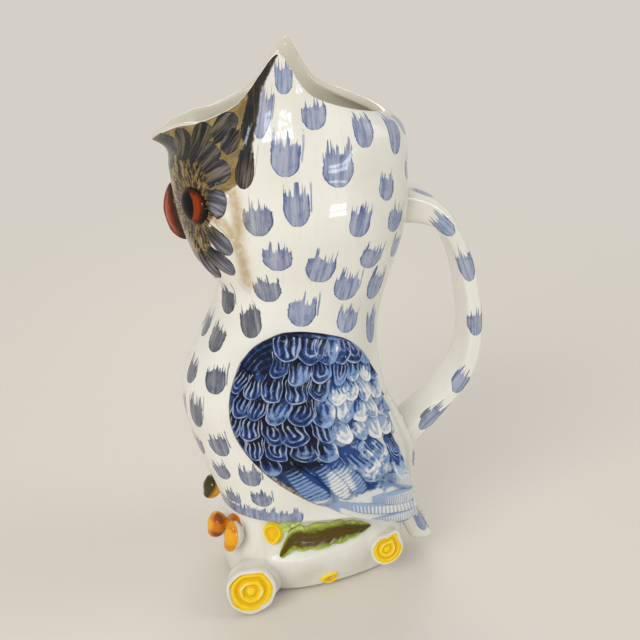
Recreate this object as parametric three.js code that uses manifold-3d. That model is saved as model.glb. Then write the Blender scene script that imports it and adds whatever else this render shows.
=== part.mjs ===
// Owl pitcher: a hollow glazed earthenware jug in the form of an owl that stands on a log.
// The owl faces -Y, its back handle is at +Y, and its left wing is at +X. Millimetres, Z up.
// The log's flat underside stands on Z = 0, and the jug's upright axis is the Z axis.
import * as THREE from 'three';
import { mergeVertices } from 'three/addons/utils/BufferGeometryUtils.js';
import Module from 'manifold-3d';

const wasm = await Module();
wasm.setup();

// Clearance between touching pieces, how far the blank of a laid piece sinks into what carries
// it before it is cut there, and how far a cut runs past what it cuts
const seat_gap = 0.3;
const seat_sink = 2;
const cut_overrun = 6;

// Jug wall
const wall = 5;
const rim_wall = 4;
const floor_thickness = 7;
const floor_corner = 9;

// Front outline of the jug, seen from the side: height and reach from the axis
const hem_height = 43;
const hem_front = 35.5;
const belly_height = 98;
const belly_front = 51.5;
const throat_height = 152;
const throat_front = 33.5;
const chin_height = 167;
const chin_front = 43.5;
const cheek_height = 188;
const cheek_front = 50.5;
const brow_height = 207;
const brow_front = 53;

// Back outline
const hem_back = 58;
const rump_height = 60;
const rump_back = 59;
const loin_height = 97;
const loin_back = 47.5;
const nape_height = 127;
const nape_back = 43;
const crown_height = 192;
const crown_back = 56.5;
const brow_back = 55.5;

// Half widths
const hem_half_width = 41;
const belly_half_width = 46;
const neck_height = 150;
const neck_half_width = 37;
const head_half_width = 42;
const brow_half_width = 40;

// Level sections are squarer at the hem than at the head
const hem_square_share = 0.76;
const head_square_share = 0.92;

// Rim: pouring lip in front, an ear on each side, a low edge at the back
const total_height = 260;
const rim_crest = 1;
const ear_height = total_height - rim_crest;
const lip_reach = 60;
const lip_height = 217;
const ear_half_spread = 35;
const back_rim_reach = 45;
const back_rim_height = 230.5;
const ear_angle_deg = 88;

// The head looks a little to the owl's right, and the turn grows over the neck
const head_turn_deg = -10;
const turn_start_height = 118;
const turn_end_height = 168;

// Handle: a strap in the plane of the axis, from the back of the head down to the rump
const handle_width = 27;
const handle_thickness = 8;
const handle_root_thickness = 17;
const handle_top_height = 185;
const handle_bow_height = 124;
const handle_bow_reach = 90.5;
const handle_bottom_height = 76;

// Tail: a flat slab of long feathers down the back
const tail_top_height = 96;
const tail_bottom_height = 12;
const tail_half_width = 19;
const tail_tip_half_width = 15;
const tail_reach = 62.5;
const tail_tip_reach = 74;
const tail_tip_thickness = 13;

// Wing: a raised panel of overlapping scales, with long feathers along its foot
const wing_top_height = 143.5;
const wing_foot_height = 54;
const wing_fall = 11.5;
const wing_thickness = 3.4;
const wing_valley = 1.3;
const wing_scale_rows = 6;
const wing_scale_pitch = 9.6;
const wing_scale_drop = 4.2;
const wing_step = 0.6;
const wing_scales_across = 7;
const wing_long_rows = 3;

// Face
const beak_height = 184.5;
const beak_length = 27;
const beak_half_width = 7;
const beak_depth = 6;
const beak_edge = 0.6;
const eye_height = 194;
const eye_radius = 7.9;
const eye_dome = 3.4;
const eye_angle_deg = 42.5;
const cheek_thickness = 2.4;
const cheek_edge = 0.5;
const cheek_radius = 16.5;
const cheek_feather_length = 3.8;
const cheek_middle_height = 183;
const cheek_middle_angle_deg = 40;

// Log
const log_height = hem_height - seat_gap;
const log_foot_half_width = 33;
const log_girth_half_width = 41;
const log_top_half_width = 37;
const log_girth_height = 22;
const log_front = 34;
const log_back = 58;
const log_end_round = 4;

// Cut branch stubs on the log: how far the cut face stands out from the log's middle plane, how
// far ahead of the jug's axis or behind it the stub is, and its size
const front_stub_reach = 51;
const front_stub_ahead = 25;
const front_stub_height = 13.5;
const front_stub_radius = 11.6;
const back_stub_reach = 32;
const back_stub_behind = 45;
const back_stub_height = 18;
const back_stub_radius = 8.2;
const right_stub_reach = 42;
const right_stub_ahead = 10;
const right_stub_radius = 9;
const knot_radius = 4.6;
const knot_proud = 2.6;
const low_knot_height = 8;
const high_knot_height = 36;

// Feet
const toe_radius = 3.7;
const toe_length = 13;
const toe_spread = 12.5;
const toe_height = 31;
const toe_reach = 4;
const foot_place = 20;
const pad_half_width = 10.4;
const pad_half_length = 9.75;
const pad_half_height = 5.2;
const pad_rise = 4.5;

// Leaf on the log's side
const leaf_thickness = 1.6;
const leaf_half_length = 25;
const leaf_half_width = 7;
const leaf_height = 33.5;
const leaf_angle_deg = 92;
const leaf_tilt_deg = 9;

const up = new THREE.Vector3(0, 0, 1);
const radians = THREE.MathUtils.degToRad;
const { lerp, clamp, smoothstep } = THREE.MathUtils;

// Smooth curve through [place, value] pairs that never overshoots them
function smooth_curve(pairs) {
  const slope = pairs.slice(1).map((p, i) => (p[1] - pairs[i][1]) / (p[0] - pairs[i][0]));
  const lean = pairs.map((_, i) => {
    if (i === 0) return slope[0];
    if (i === pairs.length - 1) return slope[i - 1];
    if (slope[i - 1] * slope[i] <= 0) return 0;
    return (2 * slope[i - 1] * slope[i]) / (slope[i - 1] + slope[i]);
  });
  return (place) => {
    let i = 0;
    while (i < pairs.length - 2 && place > pairs[i + 1][0]) i += 1;
    const run = pairs[i + 1][0] - pairs[i][0];
    const t = clamp((place - pairs[i][0]) / run, 0, 1);
    const late = t * t * (3 - 2 * t);
    const bend = t * (1 - t) * run;
    return lerp(pairs[i][1], pairs[i + 1][1], late)
      + bend * (lean[i] * (1 - t) - lean[i + 1] * t);
  };
}

// Closed mesh builder: vertices, and faces as strips between rows of vertex numbers
class Skin {
  constructor(side = 1) {
    this.side = side;
    this.places = [];
    this.faces = [];
  }

  row(points) {
    return points.map((p) => this.places.push(p.x, p.y, p.z) / 3 - 1);
  }

  // Faces between two rows with the same number of points
  strip(lower, upper, closed) {
    const count = closed ? lower.length : lower.length - 1;
    for (let i = 0; i < count; i += 1) {
      const j = (i + 1) % lower.length;
      this.faces.push(lower[i], lower[j], upper[j], lower[i], upper[j], upper[i]);
    }
  }

  // Faces between two open rows with any numbers of points and the same ends
  lace(lower, upper) {
    let i = 0;
    let j = 0;
    while (i < lower.length - 1 || j < upper.length - 1) {
      const lower_next = (i + 1) / (lower.length - 1);
      const upper_next = (j + 1) / (upper.length - 1);
      if (j === upper.length - 1 || (i < lower.length - 1 && lower_next <= upper_next)) {
        this.faces.push(lower[i], lower[i + 1], upper[j]);
        i += 1;
      } else {
        this.faces.push(lower[i], upper[j + 1], upper[j]);
        j += 1;
      }
    }
  }

  // Fan from a middle point to a closed row, which runs the way its strips need
  cap(row, middle, flip) {
    const [hub] = this.row([middle]);
    row.forEach((a, i) => {
      const b = row[(i + 1) % row.length];
      this.faces.push(hub, flip ? b : a, flip ? a : b);
    });
  }

  geometry() {
    const shape = new THREE.BufferGeometry();
    shape.setAttribute('position', new THREE.Float32BufferAttribute(this.places, 3));
    shape.setIndex(this.side < 0 ? this.faces.toReversed() : this.faces);
    return shape;
  }
}

// Skin of closed rings, capped at both ends
function ring_skin(rings, first_middle, last_middle, side = 1) {
  const skin = new Skin(side);
  const rows = rings.map((ring) => skin.row(ring));
  rows.slice(1).forEach((row, i) => skin.strip(rows[i], row, true));
  skin.cap(rows[0], first_middle, true);
  skin.cap(rows.at(-1), last_middle, false);
  return skin.geometry();
}

function solid_of(shape) {
  const bare = new THREE.BufferGeometry();
  bare.setAttribute('position', shape.getAttribute('position').clone());
  if (shape.index) bare.setIndex(shape.index.clone());
  const merged = mergeVertices(bare);
  const solid = new wasm.Manifold(new wasm.Mesh({
    numProp: 3,
    vertProperties: new Float32Array(merged.getAttribute('position').array),
    triVerts: new Uint32Array(merged.index.array),
  }));
  return solid;
}

function geometry_of(solid) {
  const mesh = solid.getMesh();
  const shape = new THREE.BufferGeometry();
  const places = new Float32Array(mesh.numVert * 3);
  for (let i = 0; i < mesh.numVert; i += 1) {
    for (let k = 0; k < 3; k += 1) {
      places[3 * i + k] = mesh.vertProperties[mesh.numProp * i + k];
    }
  }
  shape.setAttribute('position', new THREE.BufferAttribute(places, 3));
  shape.setIndex(Array.from(mesh.triVerts));
  return shape;
}

// Jug outline, from the hem up to the brow
const front_of = smooth_curve([
  [hem_height, hem_front],
  [belly_height, belly_front],
  [throat_height, throat_front],
  [chin_height, chin_front],
  [cheek_height, cheek_front],
  [brow_height, brow_front],
]);
const back_of = smooth_curve([
  [hem_height, hem_back],
  [rump_height, rump_back],
  [loin_height, loin_back],
  [nape_height, nape_back],
  [crown_height, crown_back],
  [brow_height, brow_back],
]);
const side_of = smooth_curve([
  [hem_height, hem_half_width],
  [belly_height, belly_half_width],
  [neck_height, neck_half_width],
  [cheek_height, head_half_width],
  [brow_height, brow_half_width],
]);
const square_of = smooth_curve([
  [hem_height, hem_square_share],
  [neck_height, head_square_share],
  [brow_height, head_square_share],
]);

function turned(point, height) {
  const share = smoothstep(height, turn_start_height, turn_end_height);
  return point.applyAxisAngle(up, radians(head_turn_deg) * share);
}

const power = (v, exponent) => Math.sign(v) * Math.abs(v) ** exponent;

// Point of the jug's outer surface below the brow, moved out by grow
function jug_point(angle, height, grow = 0) {
  const front = front_of(height) + grow;
  const back = back_of(height) + grow;
  const side = side_of(height) + grow;
  const square = square_of(height);
  const point = new THREE.Vector3(
    side * power(Math.sin(angle), square),
    (back - front) / 2 - ((back + front) / 2) * power(Math.cos(angle), square),
    height,
  );
  return turned(point, height);
}

// Rim between lip and ear, and between ear and back: shares of the angle, of the way from one
// reach to the other and from one height to the other, and the lean of the wall there
const front_rim_shares = [
  { along: 0, inward: 0, climb: 0, lean_deg: 72 },
  { along: 0.115, inward: 0.185, climb: 0.105, lean_deg: 58 },
  { along: 0.27, inward: 0.43, climb: 0.22, lean_deg: 28 },
  { along: 0.39, inward: 0.61, climb: 0.27, lean_deg: 12 },
  { along: 0.51, inward: 0.76, climb: 0.35, lean_deg: 6 },
  { along: 0.67, inward: 0.91, climb: 0.48, lean_deg: 4 },
  { along: 0.77, inward: 0.96, climb: 0.62, lean_deg: 5 },
  { along: 0.885, inward: 0.99, climb: 0.83, lean_deg: 8 },
  { along: 0.96, inward: 1, climb: 0.96, lean_deg: 10 },
  { along: 1, inward: 1, climb: 1, lean_deg: 10 },
];
const back_rim_shares = [
  { along: 0, outward: 0, fall: 0, lean_deg: 10 },
  { along: 0.04, outward: -0.01, fall: 0.05, lean_deg: 8 },
  { along: 0.093, outward: -0.03, fall: 0.2, lean_deg: 4 },
  { along: 0.167, outward: -0.06, fall: 0.43, lean_deg: 0 },
  { along: 0.26, outward: -0.05, fall: 0.62, lean_deg: -10 },
  { along: 0.424, outward: 0.25, fall: 0.755, lean_deg: -32 },
  { along: 0.554, outward: 0.47, fall: 0.83, lean_deg: -48 },
  { along: 0.77, outward: 0.75, fall: 0.92, lean_deg: -64 },
  { along: 1, outward: 1, fall: 1, lean_deg: -72 },
];

function rim_curve(shares, field) {
  return smooth_curve(shares.map((row) => [row.along, row[field]]));
}
const front_inward = rim_curve(front_rim_shares, 'inward');
const front_climb = rim_curve(front_rim_shares, 'climb');
const front_lean = rim_curve(front_rim_shares, 'lean_deg');
const back_outward = rim_curve(back_rim_shares, 'outward');
const back_fall = rim_curve(back_rim_shares, 'fall');
const back_lean = rim_curve(back_rim_shares, 'lean_deg');

// Rim at an angle from the front: reach from the axis, height and lean of the wall
function rim_at(angle) {
  const off_front = Math.abs(Math.atan2(Math.sin(angle), Math.cos(angle)));
  const ear = radians(ear_angle_deg);
  if (off_front <= ear) {
    const along = off_front / ear;
    return {
      reach: lerp(lip_reach, ear_half_spread, front_inward(along)),
      height: lerp(lip_height, ear_height, front_climb(along)),
      lean: radians(front_lean(along)),
    };
  }
  const along = (off_front - ear) / (Math.PI - ear);
  return {
    reach: lerp(ear_half_spread, back_rim_reach, back_outward(along)),
    height: lerp(ear_height, back_rim_height, back_fall(along)),
    lean: radians(back_lean(along)),
  };
}

// Point of the wall above the brow: rise 0 at the brow, 1 at the rim, depth into the wall
const wall_bow_share = 0.45;
function crown_point(angle, rise, depth) {
  const rim = rim_at(angle);
  const start = jug_point(angle, brow_height, -depth);
  const outward = new THREE.Vector3(Math.sin(angle), -Math.cos(angle), 0);
  turned(outward, turn_end_height);
  const along = outward.clone().multiplyScalar(Math.sin(rim.lean));
  along.addScaledVector(up, Math.cos(rim.lean));
  const into = outward.clone().multiplyScalar(-Math.cos(rim.lean));
  into.addScaledVector(up, Math.sin(rim.lean));
  const end = outward.clone().multiplyScalar(rim.reach).setZ(rim.height);
  end.addScaledVector(into, depth * (rim_wall / wall));
  const bow = start.distanceTo(end) * wall_bow_share;
  const curve = new THREE.CubicBezierCurve3(
    start,
    start.clone().addScaledVector(up, bow),
    end.clone().addScaledVector(along, -bow),
    end,
  );
  return { point: curve.getPoint(rise), along };
}

// Angles of the jug's columns, closer together towards the ears
const columns_to_ear = 13;
const columns_past_ear = 13;
const column_crowd_share = 1.3;
function column_angles() {
  const ear = radians(ear_angle_deg);
  const angles = [];
  for (let i = 0; i <= columns_to_ear; i += 1) {
    angles.push(ear * (1 - (1 - i / columns_to_ear) ** column_crowd_share));
  }
  for (let i = 1; i <= columns_past_ear; i += 1) {
    angles.push(ear + (Math.PI - ear) * (i / columns_past_ear) ** column_crowd_share);
  }
  const mirrored = angles.slice(1, -1).reverse().map((a) => -a);
  return [...angles, ...mirrored];
}

// Jug body: outer wall up to the rim, a rounded rim edge, inner wall down to the inside floor
const outer_rows = 13;
const crown_rows = 7;
const inner_crown_rows = 4;
const inner_rows = 6;
function body_shell() {
  const angles = column_angles();
  const ring = (place) => angles.map(place);
  const rings = [];
  for (let i = 0; i < outer_rows; i += 1) {
    const height = lerp(hem_height, brow_height, i / outer_rows);
    rings.push(ring((a) => jug_point(a, height)));
  }
  for (let i = 0; i <= crown_rows; i += 1) {
    rings.push(ring((a) => crown_point(a, i / crown_rows, 0).point));
  }
  rings.push(ring((a) => {
    const { point, along } = crown_point(a, 1, wall / 2);
    return point.addScaledVector(along, rim_crest);
  }));
  for (let i = inner_crown_rows; i >= 0; i -= 1) {
    rings.push(ring((a) => crown_point(a, i / inner_crown_rows, wall).point));
  }
  const inside_floor = hem_height + floor_thickness;
  for (let i = inner_rows - 1; i >= 0; i -= 1) {
    const height = lerp(inside_floor + floor_corner, brow_height, i / inner_rows);
    rings.push(ring((a) => jug_point(a, height, -wall)));
  }
  rings.push(ring((a) => jug_point(a, inside_floor, -wall - floor_corner)));
  const middle = (hem_back - hem_front) / 2;
  return ring_skin(
    rings,
    new THREE.Vector3(0, middle, hem_height),
    new THREE.Vector3(0, middle, inside_floor),
  );
}

// The jug as one filled body, grown by the seat clearance, for cutting what rests on it
function jug_envelope() {
  const angles = column_angles();
  const rings = [];
  for (let i = 0; i <= outer_rows; i += 1) {
    const height = lerp(hem_height, brow_height, i / outer_rows);
    rings.push(angles.map((a) => jug_point(a, height, seat_gap)));
  }
  return solid_of(ring_skin(
    rings,
    new THREE.Vector3(0, 0, hem_height),
    new THREE.Vector3(0, 0, brow_height),
  ));
}

// Strap with rounded edges along a path in the plane of the axis
const strap_sides = 12;
const strap_square_share = 0.6;
function strap_ring(centre, along, width, thickness) {
  const across = new THREE.Vector3(1, 0, 0);
  const out = new THREE.Vector3().crossVectors(along, across).normalize();
  const ring = [];
  for (let i = 0; i < strap_sides; i += 1) {
    const turn = (2 * Math.PI * i) / strap_sides;
    ring.push(centre.clone()
      .addScaledVector(across, (width / 2) * power(Math.cos(turn), strap_square_share))
      .addScaledVector(out, (thickness / 2) * power(Math.sin(turn), strap_square_share)));
  }
  return ring;
}

// Handle path, bottom to top, as shares of the reach past the body and of the height below and
// above the bow. The strap flares over the last shares of the path, most at its upper root.
const handle_steps = 20;
const lower_path_shares = [
  [0.1, 1.42], [0.3, 1.18], [0.46, 1.02], [0.72, 0.745], [0.87, 0.55], [0.96, 0.36], [1, 0.15],
];
const upper_path_shares = [
  [1, 0.04], [0.96, 0.28], [0.87, 0.57], [0.75, 0.77], [0.61, 0.92], [0.44, 1], [0.2, 1.04], [0, 1.05],
];
const upper_flare_shares = [0.72, 0.95];
const lower_flare_shares = [0.05, 0.3];
const lower_flare_share = 0.3;
function handle_path() {
  const root = nape_back;
  const span = handle_bow_reach - root;
  const rise = handle_top_height - handle_bow_height;
  const drop = handle_bow_height - handle_bottom_height;
  const place = (out_share, height) => new THREE.Vector3(0, root + out_share * span, height);
  return new THREE.CatmullRomCurve3([
    ...lower_path_shares.map(([out, down]) => place(out, handle_bow_height - down * drop)),
    ...upper_path_shares.map(([out, rising]) => place(out, handle_bow_height + rising * rise)),
  ]);
}

function handle_solid() {
  const path = handle_path();
  const rings = [];
  for (let i = 0; i <= handle_steps; i += 1) {
    const t = i / handle_steps;
    const upper_flare = smoothstep(t, ...upper_flare_shares);
    const lower_flare = 1 - smoothstep(t, ...lower_flare_shares);
    rings.push(strap_ring(
      path.getPoint(t),
      path.getTangent(t),
      handle_width,
      lerp(handle_thickness, handle_root_thickness, upper_flare + lower_flare_share * lower_flare),
    ));
  }
  return solid_of(ring_skin(rings, path.getPoint(0), path.getPoint(1)));
}

// Tail slab: level sections from its tip up to where it sinks into the back. It bends where it
// leaves the log, at a share of its hang below the hem.
const tail_rows = 8;
const tail_corner_share = 0.45;
const tail_sides = 16;
const tail_bend_height_share = 0.6;
const tail_bend_reach_share = 0.75;
function tail_solid(grow = 0) {
  const reach_of = smooth_curve([
    [tail_bottom_height, tail_tip_reach],
    [
      lerp(tail_bottom_height, hem_height, tail_bend_height_share),
      lerp(tail_tip_reach, tail_reach, tail_bend_reach_share),
    ],
    [hem_height, tail_reach],
    [rump_height, tail_reach],
    [tail_top_height, loin_back],
  ]);
  const rings = [];
  for (let i = 0; i <= tail_rows; i += 1) {
    const share = i / tail_rows;
    const height = lerp(tail_bottom_height - grow, tail_top_height + grow, share);
    const outer = reach_of(height) + grow;
    const inner = Math.min(outer - tail_tip_thickness - grow, loin_back);
    const sunk = smoothstep(height, log_girth_height, hem_height);
    const front = lerp(outer - tail_tip_thickness - grow, inner, sunk);
    const half = lerp(tail_tip_half_width, tail_half_width, share) + grow;
    const middle = (outer + front) / 2;
    rings.push(Array.from({ length: tail_sides }, (_, k) => {
      const turn = (2 * Math.PI * k) / tail_sides;
      return new THREE.Vector3(
        half * power(Math.cos(turn), tail_corner_share),
        middle + ((outer - front) / 2) * power(Math.sin(turn), tail_corner_share),
        height,
      );
    }));
  }
  const hub = (ring) => {
    const sum = ring.reduce((total, p) => total.add(p), new THREE.Vector3());
    return sum.divideScalar(tail_sides);
  };
  return solid_of(ring_skin(rings, hub(rings[0]), hub(rings.at(-1))));
}

// Log: a tapering mound of wood under the jug, flat beneath
const log_square_share = 0.78;
const log_tail_share = 0.66;
const log_side_of = smooth_curve([
  [0, log_foot_half_width],
  [log_girth_height, log_girth_half_width],
  [log_height, log_top_half_width],
]);
const log_taper = (y) => lerp(1, log_tail_share, smoothstep(y, -front_stub_ahead / 2, log_back));
function log_point(angle, height, grow = 0) {
  const round = log_end_round * (height / log_girth_height - 1) ** 2;
  const side = log_side_of(height) + grow;
  const front = log_front - round + grow;
  const back = log_back - round + grow;
  const y = (back - front) / 2 - ((back + front) / 2) * power(Math.cos(angle), log_square_share);
  const across = log_taper(y) * side * power(Math.sin(angle), log_square_share);
  return new THREE.Vector3(across, y, height);
}

const log_rows = 6;
const log_columns = 40;
function log_geometry(grow = 0) {
  const rings = [];
  for (let i = 0; i <= log_rows; i += 1) {
    const height = (log_height * i) / log_rows;
    rings.push(Array.from({ length: log_columns }, (_, k) => {
      const place = log_point((2 * Math.PI * k) / log_columns, height, grow);
      if (i === 0) place.z -= grow;
      return place;
    }));
  }
  const middle = (log_back - log_front) / 2;
  return ring_skin(
    rings,
    new THREE.Vector3(0, middle, -grow),
    new THREE.Vector3(0, middle, log_height),
  );
}

// Places on a curved surface, in lengths across and upwards from a middle point of it
const nudge = radians(0.6);
function patch(surface, side, angle_deg, height) {
  const angle = radians(angle_deg);
  const at = (a, h) => surface(side * a, h);
  const per_radian = at(angle + nudge, height).distanceTo(at(angle - nudge, height)) / (2 * nudge);
  return (across, rising, proud) => {
    const a = angle + across / per_radian;
    const h = height + rising;
    const sideways = at(a + nudge, h).sub(at(a - nudge, h));
    const upwards = at(a, h + seat_gap).sub(at(a, h - seat_gap));
    const normal = sideways.cross(upwards).normalize();
    return at(a, h).addScaledVector(normal, side * proud);
  };
}

// Piece laid on a patch: an outline round the middle, a back sunk into what carries it, which
// cuts it off later, and a modelled front
function laid_piece({ side = 1, place, outline, front, rings = 4, spokes = 24 }) {
  const ring = (share, proud) => Array.from({ length: spokes }, (_, k) => {
    const turn = (2 * Math.PI * k) / spokes;
    const [across, rising] = outline(turn);
    return place(share * across, share * rising, proud(share, turn));
  });
  const rows = [ring(1, () => -seat_sink)];
  for (let i = rings; i >= 1; i -= 1) rows.push(ring(i / rings, front));
  return solid_of(ring_skin(rows, place(0, 0, -seat_sink), place(0, 0, front(0, 0)), side));
}

// Wing outline: shares of the way down, with its front and back edges as angles
const wing_outline_shares = [
  { down: 0, front_deg: 92, back_deg: 98 },
  { down: 0.02, front_deg: 80, back_deg: 118 },
  { down: 0.06, front_deg: 69, back_deg: 133 },
  { down: 0.12, front_deg: 61.5, back_deg: 145 },
  { down: 0.2, front_deg: 55, back_deg: 151 },
  { down: 0.3, front_deg: 53, back_deg: 154 },
  { down: 0.45, front_deg: 54.5, back_deg: 155 },
  { down: 0.6, front_deg: 57, back_deg: 154 },
  { down: 0.7, front_deg: 60, back_deg: 152 },
  { down: 0.78, front_deg: 68, back_deg: 150 },
  { down: 0.86, front_deg: 77, back_deg: 148 },
  { down: 0.93, front_deg: 86, back_deg: 146 },
  { down: 1, front_deg: 96, back_deg: 143 },
];
const wing_front_edge = smooth_curve(wing_outline_shares.map((row) => [row.down, row.front_deg]));
const wing_back_edge = smooth_curve(wing_outline_shares.map((row) => [row.down, row.back_deg]));
const wing_front_most_deg = Math.min(...wing_outline_shares.map((row) => row.front_deg));
const wing_back_most_deg = Math.max(...wing_outline_shares.map((row) => row.back_deg));

// Point of a wing: share across from front to back, share down, drop below that line, proud
function wing_point(side, across, down, drop, proud) {
  const at = clamp(down, 0, 1);
  const angle_deg = lerp(wing_front_edge(at), wing_back_edge(at), across);
  const swept = (angle_deg - wing_front_most_deg) / (wing_back_most_deg - wing_front_most_deg);
  const height = lerp(wing_top_height, wing_foot_height, down) - wing_fall * swept - drop;
  return patch(jug_point, side, angle_deg, height)(0, 0, proud);
}

// Scale rows from the top down, each starting low under the row above and ending in a proud lip
const wing_points_across = 4 * wing_scales_across;
const wing_back_across = 10;
const wing_back_down = 6;
const scale_crest_share = 0.7;
const quill_crest_share = 0.8;
function wing_solid(side) {
  const span = wing_top_height - wing_foot_height;
  const scales_span = wing_scale_rows * wing_scale_pitch;
  const long_pitch = (span - scales_span) / wing_long_rows;
  const skin = new Skin(side);
  const line = (below_top, scallop, proud) => {
    const points = [];
    for (let i = 0; i <= wing_points_across; i += 1) {
      const across = i / wing_points_across;
      const ends = Math.sin(Math.PI * across) ** 0.25;
      points.push(wing_point(side, across, below_top / span, scallop(across) * ends, proud));
    }
    return points;
  };
  const crest = (share) => lerp(wing_valley, wing_thickness, share);
  const level = () => 0;
  const lobes = (row) => (across) => {
    const place = across * wing_scales_across + (row % 2) / 2;
    const off_middle = 2 * Math.abs(place - Math.floor(place) - 0.5);
    return wing_scale_drop * (1 - off_middle ** 2.5);
  };
  const rows = [skin.row(line(0, level, wing_valley))];
  for (let r = 1; r <= wing_scale_rows; r += 1) {
    const end = r * wing_scale_pitch;
    rows.push(skin.row(line(end - wing_scale_pitch / 2, lobes(r), crest(scale_crest_share))));
    rows.push(skin.row(line(end - wing_step, lobes(r), wing_thickness)));
    rows.push(skin.row(line(end, lobes(r), wing_valley)));
  }
  for (let r = 1; r <= wing_long_rows; r += 1) {
    const end = scales_span + r * long_pitch;
    rows.push(skin.row(line(end - long_pitch / 2, level, wing_thickness)));
    rows.push(skin.row(line(end - wing_step, level, crest(quill_crest_share))));
    if (r < wing_long_rows) rows.push(skin.row(line(end, level, wing_valley)));
  }
  // Row order runs downwards, so each strip takes the lower row first
  rows.slice(1).forEach((row, i) => skin.strip(row, rows[i], false));
  const last_down = (span - wing_step) / span;
  const back_rows = [];
  for (let j = 0; j <= wing_back_down; j += 1) {
    const points = [];
    for (let i = 0; i <= wing_back_across; i += 1) {
      const down = (last_down * j) / wing_back_down;
      points.push(wing_point(side, i / wing_back_across, down, 0, -seat_sink));
    }
    back_rows.push(skin.row(points));
  }
  back_rows.slice(1).forEach((row, j) => skin.strip(back_rows[j], row, false));
  const first = (row) => row[0];
  const last = (row) => row.at(-1);
  skin.lace(rows[0], back_rows[0]);
  skin.lace(back_rows.at(-1), rows.at(-1));
  skin.lace(back_rows.map(first), rows.map(first));
  skin.lace(rows.map(last), back_rows.map(last));
  return solid_of(skin.geometry());
}

// Beak: a hooked ridge down the middle of the face, drawn in towards its root and to its tip
const beak_root_narrow_share = 0.35;
const beak_tip_narrow_share = 0.75;
const beak_hook_share = 0.3;
function beak_solid(grow = 0) {
  return laid_piece({
    place: patch(jug_point, 1, 0, beak_height),
    outline: (turn) => {
      const rise = Math.sin(turn);
      const narrow_share = rise < 0 ? beak_tip_narrow_share : beak_root_narrow_share;
      return [
        (beak_half_width + grow) * Math.cos(turn) * (1 - narrow_share * rise * rise),
        (beak_length / 2 + grow) * rise,
      ];
    },
    front: (share, turn) => {
      const hook = 1 - beak_hook_share * share * Math.sin(turn);
      return grow + beak_edge + beak_depth * hook * (1 - share * share) ** 0.6;
    },
    rings: 5,
    spokes: 20,
  });
}

function eye_solid(side, grow = 0) {
  return laid_piece({
    side,
    place: patch(jug_point, side, eye_angle_deg, eye_height),
    outline: (turn) => [(eye_radius + grow) * Math.cos(turn), (eye_radius + grow) * Math.sin(turn)],
    front: (share) => grow + cheek_edge + eye_dome * Math.sqrt(1 - share * share),
    spokes: 20,
  });
}

// Cheek: the raised lower part of the face mask. Its outer and lower edge is cut into feather
// ends, and it thins from there towards the beak.
const cheek_feathers_round = 12;
const cheek_feathered_deg = 50;
const cheek_inner_share = 0.35;
const cheek_edge_share = 0.6;
function cheek_solid(side) {
  const feathered_at = (turn) => smoothstep(Math.cos(turn + radians(cheek_feathered_deg)), -0.5, 0.2);
  const plate = laid_piece({
    side,
    place: patch(jug_point, side, cheek_middle_angle_deg, cheek_middle_height),
    outline: (turn) => {
      const lobe = Math.abs(Math.cos((turn * cheek_feathers_round) / 2));
      const radius = cheek_radius + cheek_feather_length * feathered_at(turn) * lobe;
      return [radius * Math.cos(turn), radius * Math.sin(turn)];
    },
    front: (share, turn) => {
      const outer_share = feathered_at(turn) * smoothstep(share, 0.2, 0.8);
      const raised_share = lerp(cheek_inner_share, 1, outer_share);
      const round_share = lerp(1, cheek_edge_share, share ** 6);
      return seat_gap + lerp(cheek_edge, cheek_thickness, raised_share * round_share);
    },
    spokes: 32,
  });
  return plate.subtract(eye_solid(side, seat_gap)).subtract(beak_solid(seat_gap));
}

// Stub of a cut branch: rounded rim, sunk cut face with growth rings
const stub_segments = 14;
const stub_ring_shares = [
  [0, -0.1], [0.28, -0.02], [0.42, -0.16], [0.6, -0.04], [0.72, -0.18], [0.82, -0.02],
  [0.92, 0], [1, -0.14], [1.02, -0.4], [0.94, -1],
];
const stub_neck_share = 0.86;
const stub_root_share = 0.8;
function stub_solid({ side, radius, reach, y, height, azimuth_deg, tilt_deg }) {
  const azimuth = radians(azimuth_deg);
  const tilt = radians(tilt_deg);
  const axis = new THREE.Vector3(
    side * Math.sin(azimuth) * Math.cos(tilt),
    -Math.cos(azimuth) * Math.cos(tilt),
    Math.sin(tilt),
  );
  const root_reach = stub_root_share * Math.abs(log_point(Math.PI / 2, height).x) * log_taper(y);
  const length = (reach - root_reach) / Math.abs(axis.x);
  const profile = stub_ring_shares.map(([out, deep]) => new THREE.Vector2(out * radius, deep * radius));
  profile.push(new THREE.Vector2(stub_neck_share * radius, -length), new THREE.Vector2(0, -length));
  profile.reverse();
  const shape = new THREE.LatheGeometry(profile, stub_segments);
  shape.applyQuaternion(new THREE.Quaternion().setFromUnitVectors(new THREE.Vector3(0, 1, 0), axis));
  shape.translate(side * reach, y, height);
  return solid_of(shape);
}

// Knot: a small raised ring of bark with a sunk middle
const knot_middle_share = 0.75;
const knot_edge_share = 0.5;
function knot_solid(angle_deg, height) {
  return laid_piece({
    place: patch(log_point, 1, angle_deg, height),
    outline: (turn) => [knot_radius * Math.cos(turn), knot_radius * Math.sin(turn)],
    front: (share) => {
      const crest_share = share < 0.7 ? knot_middle_share : 1;
      return seat_gap + knot_proud * crest_share * lerp(1, knot_edge_share, share ** 8);
    },
    spokes: 12,
  });
}

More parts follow.
